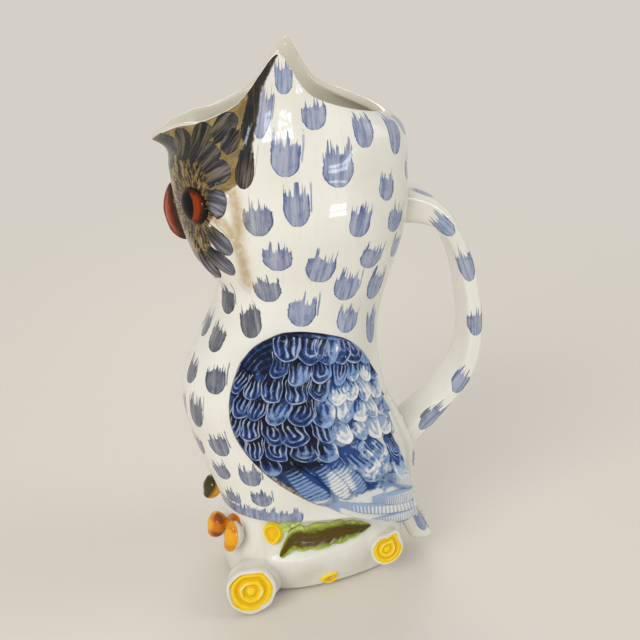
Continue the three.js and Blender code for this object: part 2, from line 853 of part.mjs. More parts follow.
// Leaf: laid aslant along the log's side, pointed at both ends, with its edges turned up
const leaf_vein_share = 0.55;
function leaf_solid(side) {
  const tilt = radians(leaf_tilt_deg);
  return laid_piece({
    side,
    place: patch(log_point, side, leaf_angle_deg, leaf_height),
    outline: (turn) => {
      const along = leaf_half_length * Math.cos(turn);
      const wide = leaf_half_width * power(Math.sin(turn), 1.4);
      return [
        along * Math.cos(tilt) - wide * Math.sin(tilt),
        along * Math.sin(tilt) + wide * Math.cos(tilt),
      ];
    },
    front: (share, turn) => {
      const edge_share = share * Math.abs(Math.sin(turn));
      return seat_gap + leaf_thickness * lerp(leaf_vein_share, 1, edge_share);
    },
    rings: 3,
  });
}

// Foot: two toes that hook over the front of the log, from a pad under the hem
const toe_tilt_deg = -10;
const pad_turn_deg = 20;
function foot_solid(side) {
  const seat_at = (place, grow) => {
    const angle = Math.asin(place / log_girth_half_width);
    return log_point(side * angle, toe_height, grow);
  };
  const toes = [-1, 1].map((step) => {
    const toe = new THREE.SphereGeometry(toe_radius, 10, 7);
    toe.rotateX(Math.PI / 2);
    toe.scale(1, 1, toe_length / (2 * toe_radius));
    toe.rotateX(radians(toe_tilt_deg));
    const seat = seat_at(foot_place + (step * toe_spread) / 2, toe_radius + toe_reach);
    toe.translate(seat.x, seat.y, seat.z);
    return solid_of(toe);
  });
  const pad = new THREE.SphereGeometry(1, 12, 6);
  pad.scale(pad_half_width, pad_half_length, pad_half_height);
  pad.rotateZ(radians(side * pad_turn_deg));
  const seat = seat_at(foot_place, 0);
  pad.translate(seat.x, seat.y, toe_height + pad_rise);
  return toes.reduce((sum, toe) => sum.add(toe), solid_of(pad));
}

// The whole pitcher, coloured as glazed
const owl_pitcher = new THREE.Group();
function add(name, geometry, color, roughness = 0.18) {
  const flat = geometry.index ? geometry.toNonIndexed() : geometry;
  flat.computeVertexNormals();
  const mesh = new THREE.Mesh(
    flat,
    new THREE.MeshStandardMaterial({ color, roughness, metalness: 0 }),
  );
  mesh.name = name;
  owl_pitcher.add(mesh);
}
const cream = 0xe8e4da;
const cobalt = 0x2a4688;
const yellow = 0xf0c21c;
const orange = 0xe08a1c;

const envelope = jug_envelope();
const log_grown = solid_of(log_geometry(seat_gap));
const tail = tail_solid().subtract(envelope).subtract(log_grown);
const tail_grown = tail_solid(seat_gap);
const hem_block = new THREE.BoxGeometry(4 * hem_half_width, 4 * hem_back, cut_overrun * 2);
hem_block.translate(0, 0, log_height + cut_overrun);
const under_hem = solid_of(hem_block);

add('body_shell', body_shell(), cream);
add('tail', geometry_of(tail), cream);
add('handle', geometry_of(handle_solid().subtract(envelope).subtract(tail_grown)), cream);
add('beak', geometry_of(beak_solid().subtract(envelope)), 0xa03008, 0.12);
add('log_base', log_geometry(), cream);
for (const [name, side] of [['left', 1], ['right', -1]]) {
  add(`wing_${name}`, geometry_of(wing_solid(side).subtract(envelope)), cobalt);
  add(`eye_${name}`, geometry_of(eye_solid(side).subtract(envelope)), 0xb05010, 0.1);
  add(`cheek_${name}`, geometry_of(cheek_solid(side).subtract(envelope)), 0x4a463c);
  add(`leaf_${name}`, geometry_of(leaf_solid(side).subtract(log_grown)), 0x7a8c2c);
  const foot = foot_solid(side).subtract(log_grown).subtract(under_hem);
  add(`foot_${name}`, geometry_of(foot), orange);
}
const back_stub = {
  radius: back_stub_radius, reach: back_stub_reach, y: back_stub_behind, height: back_stub_height,
  azimuth_deg: 98, tilt_deg: 8,
};
const stubs = {
  stub_front_left: {
    side: 1, radius: front_stub_radius, reach: front_stub_reach, y: -front_stub_ahead,
    height: front_stub_height, azimuth_deg: 82, tilt_deg: 8,
  },
  stub_back_left: { side: 1, ...back_stub },
  stub_front_right: {
    side: -1, radius: right_stub_radius, reach: right_stub_reach, y: -right_stub_ahead,
    height: front_stub_height, azimuth_deg: 90, tilt_deg: 6,
  },
  stub_back_right: { side: -1, ...back_stub },
};
for (const [name, stub] of Object.entries(stubs)) {
  add(name, geometry_of(stub_solid(stub).subtract(log_grown)), yellow);
}
add('knot_low_left', geometry_of(knot_solid(94, low_knot_height).subtract(log_grown)), yellow);
add('knot_high_left', geometry_of(knot_solid(62, high_knot_height).subtract(log_grown)), yellow);

export default owl_pitcher;
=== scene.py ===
from math import cos, pi, radians, sin

import bpy
import numpy as np
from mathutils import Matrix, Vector


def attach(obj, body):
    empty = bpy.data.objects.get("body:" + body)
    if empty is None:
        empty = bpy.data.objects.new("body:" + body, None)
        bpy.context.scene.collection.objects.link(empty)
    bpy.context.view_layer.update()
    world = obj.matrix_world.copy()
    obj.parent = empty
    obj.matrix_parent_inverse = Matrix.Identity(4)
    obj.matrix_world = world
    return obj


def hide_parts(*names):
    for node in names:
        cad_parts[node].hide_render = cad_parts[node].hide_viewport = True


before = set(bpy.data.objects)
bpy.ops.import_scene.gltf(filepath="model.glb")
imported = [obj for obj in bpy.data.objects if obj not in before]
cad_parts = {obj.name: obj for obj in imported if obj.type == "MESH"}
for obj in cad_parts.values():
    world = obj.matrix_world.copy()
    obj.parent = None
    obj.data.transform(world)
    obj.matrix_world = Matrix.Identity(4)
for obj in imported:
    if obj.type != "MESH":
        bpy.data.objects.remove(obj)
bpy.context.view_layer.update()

# Owl pitcher in glazed earthenware. Sizes are in millimetres and become metres in each mesh.
# The owl faces -Y, its handle is at +Y and its left wing at +X, and it stands on Z = 0.
millimetre = 0.001


# Studio. A pale floor runs into a pale room, and the camera stands where the photograph was
# taken from: off the owl's left side and a little above it. Two windows of four panes each
# shine in the glaze, and soft lamps stand in front of the owl, behind it and beyond it.
camera_place = (470.6, -58.5, 305.0)
camera_azimuth_deg = 81.0
camera_pitch_deg = 20.2
camera_lens = 59.06


def add_object(name, data):
    item = bpy.data.objects.new(name, data)
    bpy.context.scene.collection.objects.link(item)
    return item


camera = add_object("camera", bpy.data.cameras.new("camera"))
camera.data.lens = camera_lens
camera.data.clip_start = 0.01
camera.data.clip_end = 20.0
camera.location = Vector(camera_place) * millimetre
camera.rotation_euler = (radians(90 - camera_pitch_deg), 0, radians(camera_azimuth_deg))
bpy.context.scene.camera = camera
bpy.context.scene.view_settings.view_transform = "Standard"


class Mark:
    """Output of a node. Sums and products of marks add math nodes to its sheet."""

    def __init__(self, sheet, socket):
        self.sheet, self.socket = sheet, socket

    def __add__(self, other):
        return self.sheet.math("ADD", self, other)

    def __radd__(self, other):
        return self.sheet.math("ADD", other, self)

    def __sub__(self, other):
        return self.sheet.math("SUBTRACT", self, other)

    def __rsub__(self, other):
        return self.sheet.math("SUBTRACT", other, self)

    def __mul__(self, other):
        return self.sheet.math("MULTIPLY", self, other)

    def __truediv__(self, other):
        return self.sheet.math("DIVIDE", self, other)

    def __abs__(self):
        return self.sheet.math("ABSOLUTE", self)


class Sheet:
    """Node tree that is written as sums: a call adds a node and returns its output's mark."""

    def __init__(self, tree):
        self.tree = tree

    def feed(self, socket, value):
        if isinstance(value, Mark):
            self.tree.links.new(value.socket, socket)
        else:
            socket.default_value = value

    def node(self, kind, inputs=(), **settings):
        """Adds a node with its settings, and its inputs by name or number."""
        node = self.tree.nodes.new(kind)
        for name, value in settings.items():
            setattr(node, name, value)
        for name, value in dict(inputs).items():
            self.feed(node.inputs[name], value)
        return node

    def mark(self, kind, inputs=(), output=0, **settings):
        return Mark(self, self.node(kind, inputs, **settings).outputs[output])

    def math(self, operation, *values):
        return self.mark("ShaderNodeMath", enumerate(values), operation=operation)

    def least(self, a, b):
        return self.math("MINIMUM", a, b)

    def most(self, a, b):
        return self.math("MAXIMUM", a, b)

    def step(self, value, low, high, start=0.0, end=1.0):
        """Smooth step from start, where the value is low, to end, where it is high."""
        inputs = enumerate((value, low, high, start, end))
        return self.mark("ShaderNodeMapRange", inputs, interpolation_type="SMOOTHSTEP")

    def joined(self, x, y, z):
        return self.mark("ShaderNodeCombineXYZ", enumerate((x, y, z)))

    def parts(self, vector):
        node = self.node("ShaderNodeSeparateXYZ", {0: vector})
        return [Mark(self, socket) for socket in node.outputs]

    def place(self):
        return self.mark("ShaderNodeTexCoord", output="Object")

    def seen(self):
        """1 where the camera, a mirror or clear glass sees the surface, 0 for soft light."""
        rays = self.node("ShaderNodeLightPath").outputs
        camera, glossy, clear = (
            Mark(self, rays[f"Is {kind} Ray"]) for kind in ("Camera", "Glossy", "Transmission")
        )
        return self.most(self.most(camera, glossy), clear)

    def show(self, end, share, shader, other):
        """Mixes two shaders by a share and leads them to the tree's last node."""
        surface = self.mark("ShaderNodeMixShader", {0: share, 1: shader, 2: other})
        self.feed(self.tree.nodes[end].inputs["Surface"], surface)


room_color = (0.9, 0.895, 0.875, 1)
room_light = 0.56
backdrop_color = (0.66, 0.63, 0.57, 1)
world = bpy.data.worlds.new("studio")
bpy.context.scene.world = world
world.use_nodes = True
world_sheet = Sheet(world.node_tree)
room = world_sheet.mark("ShaderNodeBackground", {"Color": room_color, "Strength": room_light})
backdrop = world_sheet.mark("ShaderNodeBackground", {"Color": backdrop_color})
world_sheet.show("World Output", world_sheet.seen(), room, backdrop)

floor_half = 4.0
floor_color = (0.74, 0.7, 0.63, 1)
floor_fade_start = 0.25
floor_fade_end = 0.9
floor_mesh = bpy.data.meshes.new("floor")
floor_mesh.from_pydata(
    [(x * floor_half, y * floor_half, 0) for x, y in ((-1, -1), (1, -1), (1, 1), (-1, 1))],
    [],
    [(0, 1, 2, 3)],
)
floor = add_object("floor", floor_mesh)
floor_paint = bpy.data.materials.new("floor")
floor_paint.use_nodes = True
floor_sheet = Sheet(floor_paint.node_tree)
floor_shader = floor_sheet.tree.nodes["Principled BSDF"]
floor_shader.inputs["Base Color"].default_value = floor_color
floor_shader.inputs["Roughness"].default_value = 0.55
distance = floor_sheet.mark(
    "ShaderNodeVectorMath", {0: floor_sheet.place()}, "Value", operation="LENGTH"
)
faded = floor_sheet.step(distance, floor_fade_start, floor_fade_end) * floor_sheet.seen()
glow = floor_sheet.mark("ShaderNodeEmission", {"Color": backdrop_color})
floor_sheet.show("Material Output", faded, Mark(floor_sheet, floor_shader.outputs[0]), glow)
floor_mesh.materials.append(floor_paint)


def add_lamp(name, place, target, width, height, watts, color):
    data = bpy.data.lights.new(name, "AREA")
    data.shape = "RECTANGLE"
    data.size = width
    data.size_y = height
    data.energy = watts
    data.color = color
    lamp = add_object(name, data)
    lamp.location = place
    lamp.rotation_euler = (Vector(target) - Vector(place)).to_track_quat("-Z", "Y").to_euler()
    return lamp


middle = (0.0, 0.0, 0.13)
upper_body = (0.0, 0.0, 0.2)
soft_front = add_lamp("soft_front", (1.05, -0.75, 0.85), middle, 0.9, 0.9, 11.5, (1.0, 0.985, 0.97))
soft_front.visible_glossy = False
add_lamp("soft_back", (0.2, 1.3, 0.9), middle, 0.8, 0.8, 4.5, (0.95, 0.97, 1.0))
add_lamp("soft_far", (-1.2, 0.1, 0.9), middle, 0.8, 0.8, 4.0, (1.0, 0.96, 0.9))
pane_width, pane_height, pane_watts = 0.12, 0.055, 0.42
pane_color = (0.8, 0.92, 1.0)
for window, (y, z) in enumerate(((-0.2, 0.54), (0.4, 0.16))):
    for i, j in ((-1, -1), (-1, 1), (1, -1), (1, 1)):
        light = add_lamp(
            f"window_pane_{window}_{i}_{j}", (0.97, y + 0.07 * i, z + 0.035 * j), upper_body,
            pane_width, pane_height, pane_watts, pane_color,
        )
        light.visible_diffuse = False


# Jug. The body is one hollow shell of cast earthenware. Its level sections run from a squarish
# hem to a round head that turns to the owl's right, and its rim rises from the pouring lip to
# two ears and falls to a low back edge. The glaze is cream, with dabs and a mask brushed on.
hem_height = 43.0
brow_height = 207.0
total_height = 259.9
rim_crest = 1.0
wall = 5.0
rim_wall = 4.0
inside_floor_height = 50.0
floor_corner = 9.0
front_outline = [(43, 35.5), (98, 51.5), (152, 33.5), (167, 43.5), (188, 50.5), (207, 53)]
back_outline = [(43, 58), (60, 59), (97, 47.5), (127, 43), (192, 56.5), (207, 55.5)]
side_outline = [(43, 41), (98, 46), (150, 37), (188, 42), (207, 40)]
squareness = [(43, 0.76), (150, 0.92), (207, 0.92)]
lip_reach = 59.7
lip_height = 217.0
ear_half_spread = 35.0
ear_height = total_height - rim_crest
back_rim_reach = 45.0
back_rim_height = 230.5
ear_angle = radians(88)
head_turn = radians(-10)
turn_start_height = 118.0
turn_end_height = 168.0
wall_bow_share = 0.45
# The rim by the share of the way round from lip to ear, and then from ear to back: shares of
# the way in reach and in height between those ends, and its lean outwards in degrees.
front_rim_shares = [
    (0, 0, 0, 72), (0.115, 0.185, 0.105, 58), (0.27, 0.43, 0.22, 28), (0.39, 0.61, 0.27, 12),
    (0.51, 0.76, 0.35, 6), (0.67, 0.91, 0.48, 4), (0.77, 0.96, 0.62, 5), (0.885, 0.99, 0.83, 8),
    (0.96, 1, 0.96, 10), (1, 1, 1, 10),
]
back_rim_shares = [
    (0, 0, 0, 10), (0.04, -0.01, 0.05, 8), (0.093, -0.03, 0.2, 4), (0.167, -0.06, 0.43, 0),
    (0.26, -0.05, 0.62, -10), (0.424, 0.25, 0.755, -32), (0.554, 0.47, 0.83, -48),
    (0.77, 0.75, 0.92, -64), (1, 1, 1, -72),
]


def mix(a, b, share):
    return a + (b - a) * share


def ease(value, low, high):
    share = np.clip((value - low) / (high - low), 0, 1)
    return share * share * (3 - 2 * share)


def smooth_curve(pairs):
    """Smooth curve through (place, value) pairs that never overshoots them."""
    places, values = np.array(pairs, float).T
    slopes = np.diff(values) / np.diff(places)
    leans = np.zeros(len(places))
    leans[0], leans[-1] = slopes[0], slopes[-1]
    rising = slopes[:-1] * slopes[1:] > 0
    steep = np.where(rising, slopes[:-1] + slopes[1:], 1)
    leans[1:-1] = np.where(rising, 2 * slopes[:-1] * slopes[1:] / steep, 0)

    def value_at(place):
        place = np.asarray(place, float)
        i = np.clip(np.searchsorted(places, place) - 1, 0, len(places) - 2)
        run = places[i + 1] - places[i]
        t = np.clip((place - places[i]) / run, 0, 1)
        bend = t * (1 - t) * run * (leans[i] * (1 - t) - leans[i + 1] * t)
        return mix(values[i], values[i + 1], t * t * (3 - 2 * t)) + bend

    return value_at


front_of, back_of = smooth_curve(front_outline), smooth_curve(back_outline)
side_of, square_of = smooth_curve(side_outline), smooth_curve(squareness)


def power(value, exponent):
    return np.sign(value) * np.abs(value) ** exponent


def hump(away, width):
    """Bell curve: 1 in its middle, and 0 well past its width."""
    return np.exp(-((away / width) ** 2))


def wave(place, pitch):
    """Wave from 0 to 1, with a crest at every pitch."""
    return 0.5 + 0.5 * np.cos(2 * pi * place / pitch)


def stacked(*parts):
    return np.stack(np.broadcast_arrays(*parts), -1)


def spun(x, y, angle):
    """Flat places turned round the origin."""
    return x * np.cos(angle) - y * np.sin(angle), x * np.sin(angle) + y * np.cos(angle)


def turned(points, height, way=1):
    """Places turned as the head is: not at all below the neck, and fully above it."""
    angle = way * head_turn * ease(height, turn_start_height, turn_end_height)
    return stacked(*spun(points[..., 0], points[..., 1], angle), points[..., 2])


def jug_point(angle, height, grow=0.0):
    """Outer surface below the brow, by angle from the front towards the owl's left."""
    front, back, side = front_of(height) + grow, back_of(height) + grow, side_of(height) + grow
    square = square_of(height)
    x = side * power(np.sin(angle), square)
    y = (back - front) / 2 - (back + front) / 2 * power(np.cos(angle), square)
    return turned(stacked(x, y, height), height)


def rim_curves(table):
    alongs, reaches, heights, leans = zip(*table)
    return [smooth_curve(list(zip(alongs, values))) for values in (reaches, heights, leans)]


front_reach, front_climb, front_lean = rim_curves(front_rim_shares)
back_reach, back_fall, back_lean = rim_curves(back_rim_shares)


def rim_at(angle):
    off_front = np.abs(np.arctan2(np.sin(angle), np.cos(angle)))
    ahead = np.clip(off_front / ear_angle, 0, 1)
    behind = np.clip((off_front - ear_angle) / (pi - ear_angle), 0, 1)
    front = off_front <= ear_angle
    reach = np.where(
        front,
        mix(lip_reach, ear_half_spread, front_reach(ahead)),
        mix(ear_half_spread, back_rim_reach, back_reach(behind)),
    )
    height = np.where(
        front,
        mix(lip_height, ear_height, front_climb(ahead)),
        mix(ear_height, back_rim_height, back_fall(behind)),
    )
    lean = np.radians(np.where(front, front_lean(ahead), back_lean(behind)))
    return reach, height, lean


def crown_point(angle, rise, depth=0.0, crest=0.0):
    """Wall above the brow: rise 0 at the brow and 1 at the rim, depth into the wall."""
    angle, rise = np.broadcast_arrays(angle, rise)
    reach, height, lean = rim_at(angle)
    start = jug_point(angle, np.full(angle.shape, brow_height), -depth)
    outward = turned(stacked(np.sin(angle), -np.cos(angle), 0.0 * angle), turn_end_height)
    up = np.array([0.0, 0.0, 1.0])
    along = outward * np.sin(lean)[..., None] + up * np.cos(lean)[..., None]
    into = up * np.sin(lean)[..., None] - outward * np.cos(lean)[..., None]
    end = outward * reach[..., None] + up * height[..., None] + into * depth * rim_wall / wall
    bow = np.linalg.norm(end - start, axis=-1)[..., None] * wall_bow_share
    t = rise[..., None]
    point = (1 - t) ** 3 * start + 3 * (1 - t) ** 2 * t * (start + up * bow)
    point = point + 3 * (1 - t) * t ** 2 * (end - along * bow) + t ** 3 * end
    return point + along * crest


def skin_point(angle, height):
    """Outer surface by angle and height, from the hem up to the rim."""
    angle, height = np.broadcast_arrays(np.asarray(angle, float), np.asarray(height, float))
    low = jug_point(angle, np.minimum(height, brow_height))
    rise = np.linspace(0, 1, 61)
    climbed = crown_point(angle[..., None], rise)[..., 2]
    i = np.clip((climbed < height[..., None]).sum(-1) - 1, 0, len(rise) - 2)
    below = np.take_along_axis(climbed, i[..., None], -1)[..., 0]
    above = np.take_along_axis(climbed, i[..., None] + 1, -1)[..., 0]
    share = np.clip((height - below) / (above - below), 0, 1)
    high = crown_point(angle, (i + share) / (len(rise) - 1))
    return np.where((height > brow_height)[..., None], high, low)


def grid_normals(points):
    """Outward unit normals of rows of points that run round and then up."""
    round_step = np.gradient(points, axis=1)
    up_step = np.gradient(points, axis=0)
    normals = np.cross(round_step, up_step)
    return normals / np.maximum(np.linalg.norm(normals, axis=-1, keepdims=True), 1e-9)


def grid_quads(rows, columns, closed):
    """Faces of a grid of rows of points, where closed joins each row's ends."""
    numbers = np.arange(rows * columns).reshape(rows, columns)
    right = np.roll(numbers, -1, axis=1)
    if not closed:
        numbers, right = numbers[:, :-1], right[:, :-1]
    return stacked(numbers[:-1], right[:-1], right[1:], numbers[1:]).reshape(-1, 4)


def add_piece(name, points, faces, material):
    mesh = bpy.data.meshes.new(name)
    mesh.from_pydata((np.asarray(points).reshape(-1, 3) * millimetre).tolist(), [], faces)
    mesh.polygons.foreach_set("use_smooth", [True] * len(mesh.polygons))
    mesh.materials.append(material)
    mesh.update()
    return add_object(name, mesh)


def closed_loft(name, rings, material, side=1):
    """Skin of closed rings, capped at both ends by a fan to the middle of the ring. The rings
    of a piece on the owl's right are mirror images, so its faces are turned over."""
    rings = np.asarray(rings)
    rows, columns = rings.shape[:2]
    points = np.concatenate([rings.reshape(-1, 3), [rings[0].mean(0), rings[-1].mean(0)]])
    faces = grid_quads(rows, columns, True).tolist()
    first, top = rows * columns, (rows - 1) * columns
    for i in range(columns):
        j = (i + 1) % columns
        faces += [[first, j, i], [first + 1, top + i, top + j]]
    if side < 0:
        faces = [face[::-1] for face in faces]
    return add_piece(name, points, faces, material)


def column(items, key, kind, width=1):
    """One value of all of a mesh's points, corners or faces."""
    values = np.zeros(len(items) * width, kind)
    items.foreach_get(key, values)
    return values.reshape(-1, width) if width > 1 else values


def point_places(mesh):
    return column(mesh.vertices, "co", np.float32, 3).astype(float) / millimetre


def move_points(mesh, points):
    mesh.vertices.foreach_set("co", (points * millimetre).astype(np.float32).ravel())
    mesh.polygons.foreach_set("use_smooth", [True] * len(mesh.polygons))
    mesh.update()


def corner_points(piece):
    """Every face corner's place, every face's middle, in millimetres, and corners per face."""
    mesh = piece.data
    corners = point_places(mesh)[column(mesh.loops, "vertex_index", np.int32)]
    centres = column(mesh.polygons, "center", np.float32, 3) / millimetre
    return corners, centres, column(mesh.polygons, "loop_total", np.int32)


def add_map(piece, name, values):
    layer = piece.data.uv_layers.new(name=name, do_init=False)
    layer.data.foreach_set("uv", np.asarray(values, np.float32).ravel())


def add_value(piece, name, values, *ends):
    """A value of every point, and of the middles of a closed loft's ends."""
    layer = piece.data.attributes.new(name, "FLOAT", "POINT")
    layer.data.foreach_set("value", np.append(values, ends).astype(np.float32))


def stroke_frames(surface, strokes):
    """Foot, directions across, along and out, length and half width of each brush stroke.
    A stroke is its foot's angle and height, its tips' angle and height, half width, tone."""
    frames = []
    for foot_deg, foot_height, tip_deg, tip_height, half_width, _ in strokes:
        foot = surface(radians(foot_deg), foot_height)
        tip = surface(radians(tip_deg), tip_height)
        beside = surface(radians(foot_deg) + 0.02, foot_height)
        length = np.linalg.norm(tip - foot)
        along = (tip - foot) / length
        across = beside - foot
        across = across - along * (across @ along)
        across = across / np.linalg.norm(across)
        frames.append((foot, across, along, np.cross(across, along), length, half_width))
    return frames


def map_strokes(piece, surface, strokes, stroke_map, kind_map, reach=12.0):
    """Gives every face the brush stroke that it is nearest to: one map holds the place in the
    stroke, in half widths and lengths, and one holds the stroke's own number and its tone."""
    corners, centres, counts = corner_points(piece)
    too_far, far_place, paint_reach = 9.0, 5.0, 2.5
    best = np.full(len(centres), too_far)
    chosen = np.zeros(len(centres), int)
    frames = stroke_frames(surface, strokes)
    for i, (foot, across, along, out, length, half_width) in enumerate(frames):
        away = centres - foot
        u = away @ across / half_width
        v = away @ along / length
        off = np.maximum(np.abs(u), np.abs(v - 0.5) * 1.9)
        off = np.where(np.abs(away @ out) > reach, too_far, off)
        nearer = off < best
        best[nearer] = off[nearer]
        chosen[nearer] = i
    owner = np.repeat(chosen, counts)
    foot, across, along, _, length, half_width = (np.array(c)[owner] for c in zip(*frames))
    tone = np.array([stroke[-1] for stroke in strokes])[owner]
    away = corners - foot
    place = stacked((away * across).sum(-1) / half_width, (away * along).sum(-1) / length)
    place[np.repeat(best, counts) > paint_reach] = far_place
    add_map(piece, stroke_map, place)
    add_map(piece, kind_map, stacked(owner * 0.37, tone))


class Glaze(Sheet):
    """Node tree of one glaze, clear and shiny over its colour."""

    def __init__(self, name, roughness=0.2, coat=0.7):
        self.material = bpy.data.materials.new(name)
        self.material.use_nodes = True
        super().__init__(self.material.node_tree)
        self.shader = self.tree.nodes["Principled BSDF"].inputs
        for socket, value in (
            ("Roughness", roughness), ("IOR", 1.5), ("Specular IOR Level", 0.08),
            ("Coat Weight", coat), ("Coat IOR", 1.35), ("Coat Roughness", 0.03),
        ):
            self.shader[socket].default_value = value

    def blend(self, share, a, b):
        """Colour a where the share is 0, and colour b where it is 1."""
        return self.mark("ShaderNodeMix", {0: share, 6: a, 7: b}, 2, data_type="RGBA")

    def fade(self, value, low, high, a, b):
        """Colour a where the value is low, running into colour b where it is high."""
        return self.blend(self.step(value, low, high), a, b)

    def noise(self, vector, scale=1.0, detail=2.0, roughness=0.5):
        return self.mark("ShaderNodeTexNoise", {
            "Vector": vector, "Scale": scale, "Detail": detail, "Roughness": roughness,
        })

    def map(self, name):
        return self.mark("ShaderNodeUVMap", uv_map=name)

    def attribute(self, name):
        return self.mark("ShaderNodeAttribute", output="Fac", attribute_name=name)

    def finish(self, color, height, depth):
        """Gives the glaze its colour, and the fine waves of its surface by their depth."""
        waves = self.mark("ShaderNodeBump", {"Distance": depth, "Height": height})
        for socket, value in (("Base Color", color), ("Normal", waves), ("Coat Normal", waves)):
            self.feed(self.shader[socket], value)
        return self.material


def brush_stroke(glaze, stroke_map, kind_map, ragged=0.3, foot=0.42, taper=0.1):
    """Shape of a loaded brush pressed down and dragged: a round foot where the colour pools, and
    ragged tips where the hairs lift off. Returns its cover, its pooled outline, its streaks, its
    dark tips, its tone, the place along it and its own number."""
    u, v, _ = glaze.parts(glaze.map(stroke_map))
    number, tone, _ = glaze.parts(glaze.map(kind_map))
    own = number * 13.7
    wobble = glaze.noise(glaze.joined(u * 1.6, v * 2.2, own))
    grain = glaze.noise(glaze.joined(u * 8.0, v * 12.0, own))
    foot_share = glaze.most(foot - v, 0.0) / foot
    foot_room = glaze.most(1.0 - foot_share * foot_share, 0.0)
    narrowing = glaze.most(v - foot, 0.0) * taper
    half = glaze.math("SQRT", foot_room) - narrowing
    half = half + (wobble - 0.5) * 0.34
    half = half + (grain - 0.5) * 0.14
    side = half - abs(u)
    hair_place = glaze.joined(u * 6.5, v * 0.5, own + 5.0)
    hair = glaze.step(glaze.noise(hair_place, 1.0, 2.0, 0.6), 0.42, 0.72)
    clumps = glaze.noise(glaze.joined(u * 1.5, 0.0, own + 9.0))
    top = 1.0 - 0.9 * ragged + (clumps - 0.5) * (1.7 * ragged)
    lift = top + hair * (1.25 * ragged) - v
    cover = glaze.step(side, 0.0, 0.05) * glaze.step(lift, 0.0, 0.05)
    cover = cover * glaze.step(v, 0.0, 0.02)
    stray_place = 0.96 + wobble * 0.25
    stray = glaze.step(abs(u - stray_place), 0.09, 0.03)
    stray = stray * (glaze.step(v, 0.3, 0.4) * glaze.step(v, 1.1, 0.98))
    stray = stray * glaze.step(glaze.math("FRACT", number * 1.7), 0.6, 0.62)
    cover = glaze.most(cover, stray * (ragged * 2.6))
    outline = glaze.step(side, 0.2, 0.04) * glaze.step(v, 0.95, 0.6)
    streaks = glaze.noise(glaze.joined(u * 3.6, v * 0.8, own), 1.0, 4.0, 0.65)
    tips = glaze.step(v, 0.5, 0.95) * (hair * 0.6 + 0.4)
    return cover, outline, streaks, tips, tone, v, number


# Dabs by place: angle and height of the round foot, angle and height of the tips, half width,
# and tone, which runs from 0, blue, to 1, brown-grey; the darker grey on the chest is partly
# painted shade. The far side mirrors the near side.
near_dabs = [
    (92, 242.5, 92, 258, 3.9, 0.0), (79.5, 224.5, 81.5, 249, 3.6, 0.0),
    (109, 228, 112, 242, 5.3, 0.0), (90.5, 209, 91.5, 228, 6.6, 0.0),
    (113, 204, 118, 223, 6.9, 0.0), (131.5, 220, 142, 235, 4.9, 0.0),
    (151, 215, 165, 232, 4.8, 0.0), (141, 196, 144, 209, 4.6, 0.0),
    (77.5, 183.5, 78.5, 200, 6.8, 0.35), (93.5, 188, 94.5, 206, 5.8, 0.1),
    (122, 182, 125.5, 197, 5.4, 0.0), (148, 181, 152, 194, 5.4, 0.0),
    (84, 167.5, 85, 181, 6.6, 0.15), (100.5, 162, 105.5, 177, 6.6, 0.05),
    (132, 166, 135, 178, 5.8, 0.0), (159, 167, 160, 180, 5.4, 0.0),
    (71, 152, 76, 165, 6.5, 0.5), (115, 152, 121, 167, 6.1, 0.0),
    (141, 149, 146, 165, 5.8, 0.0), (89.5, 141, 92, 157, 6.4, 0.1),
    (118, 136, 122, 149, 5.6, 0.0), (147.5, 126, 145, 145, 4.8, 0.0),
    (35, 142.5, 36.5, 157, 5.4, 0.95), (60.5, 135, 54.5, 152, 5.5, 0.9),
    (28.5, 125, 31.5, 138, 5.8, 0.9), (8, 127, 6, 140, 5.6, 0.9), (15, 107, 13.5, 119, 6.0, 0.8),
    (43.5, 108.5, 38.5, 122, 6.2, 0.75), (28, 89, 27.5, 105, 6.0, 0.75),
    (7, 88, 7, 101, 5.6, 0.75), (45.5, 77.5, 43.5, 90, 6.2, 0.55), (20, 72, 20, 84, 5.8, 0.6),
    (38.5, 63, 36, 73, 5.8, 0.5), (58.5, 63, 61.5, 75, 5.6, 0.4), (11, 56, 11, 66, 5.4, 0.5),
    (36.5, 48, 39, 58, 5.0, 0.4), (61, 51.5, 63, 61, 5.2, 0.35),
    (171, 201, 172, 214, 5.2, 0.0), (173, 221, 174, 233, 4.6, 0.0),
]
hem_dabs = [
    (angle_deg, 42.2, angle_deg + 1.5, 51.5, 4.8, 0.15)
    for angle_deg in (4, 13, 22, 31, 39, 47, 55, 63, 71, 78)
]
dab_rng = np.random.default_rng(7)
far_dabs = []
for foot_deg, foot_height, tip_deg, tip_height, half_width, tone in near_dabs + hem_dabs:
    slide, climb = dab_rng.uniform(-1.2, 1.2, 2)
    climb = 0.0 if foot_height < hem_height else climb
    far_dabs.append((
        slide - foot_deg, foot_height + climb, slide - tip_deg, tip_height + climb, half_width,
        tone,
    ))
jug_dabs = near_dabs + hem_dabs + far_dabs

# Petals of the mask, painted in brown-black over ochre: angle and height of the round outer
# end, angle and height of the end at the eye, half width, and tone, which runs to lilac. The
# first four are also raised in clay.
raised_petals = [
    (64, 195.5, 50, 198, 5.7, 0.8), (62, 174.5, 48.5, 186, 5.3, 0.85),
    (59, 164.5, 42, 175.5, 4.7, 0.85), (40, 160, 33, 174, 5.2, 0.45),
]
flat_petals = [
    (-1, 221, 26, 210, 8.2, 0.0), (24, 227, 34, 210.5, 6.4, 0.0), (41, 230, 41.5, 211, 5.8, 0.0),
    (60, 234, 46, 222, 4.7, 0.15), (60.5, 218, 64.5, 229, 4.4, 0.1),
    (54.5, 221.5, 45, 208, 6.2, 0.1), (66.5, 213, 51, 205.5, 5.4, 0.2),
    (72.5, 203.5, 74.3, 222, 4.2, 0.1), (8, 214, 9, 194, 6.0, 0.0),
    (22, 157.5, 19, 173, 5.4, 0.35), (6, 156.5, 8, 171, 5.2, 0.3), (69.5, 224, 70, 240, 2.2, 0.1),
]
near_petals = raised_petals + flat_petals
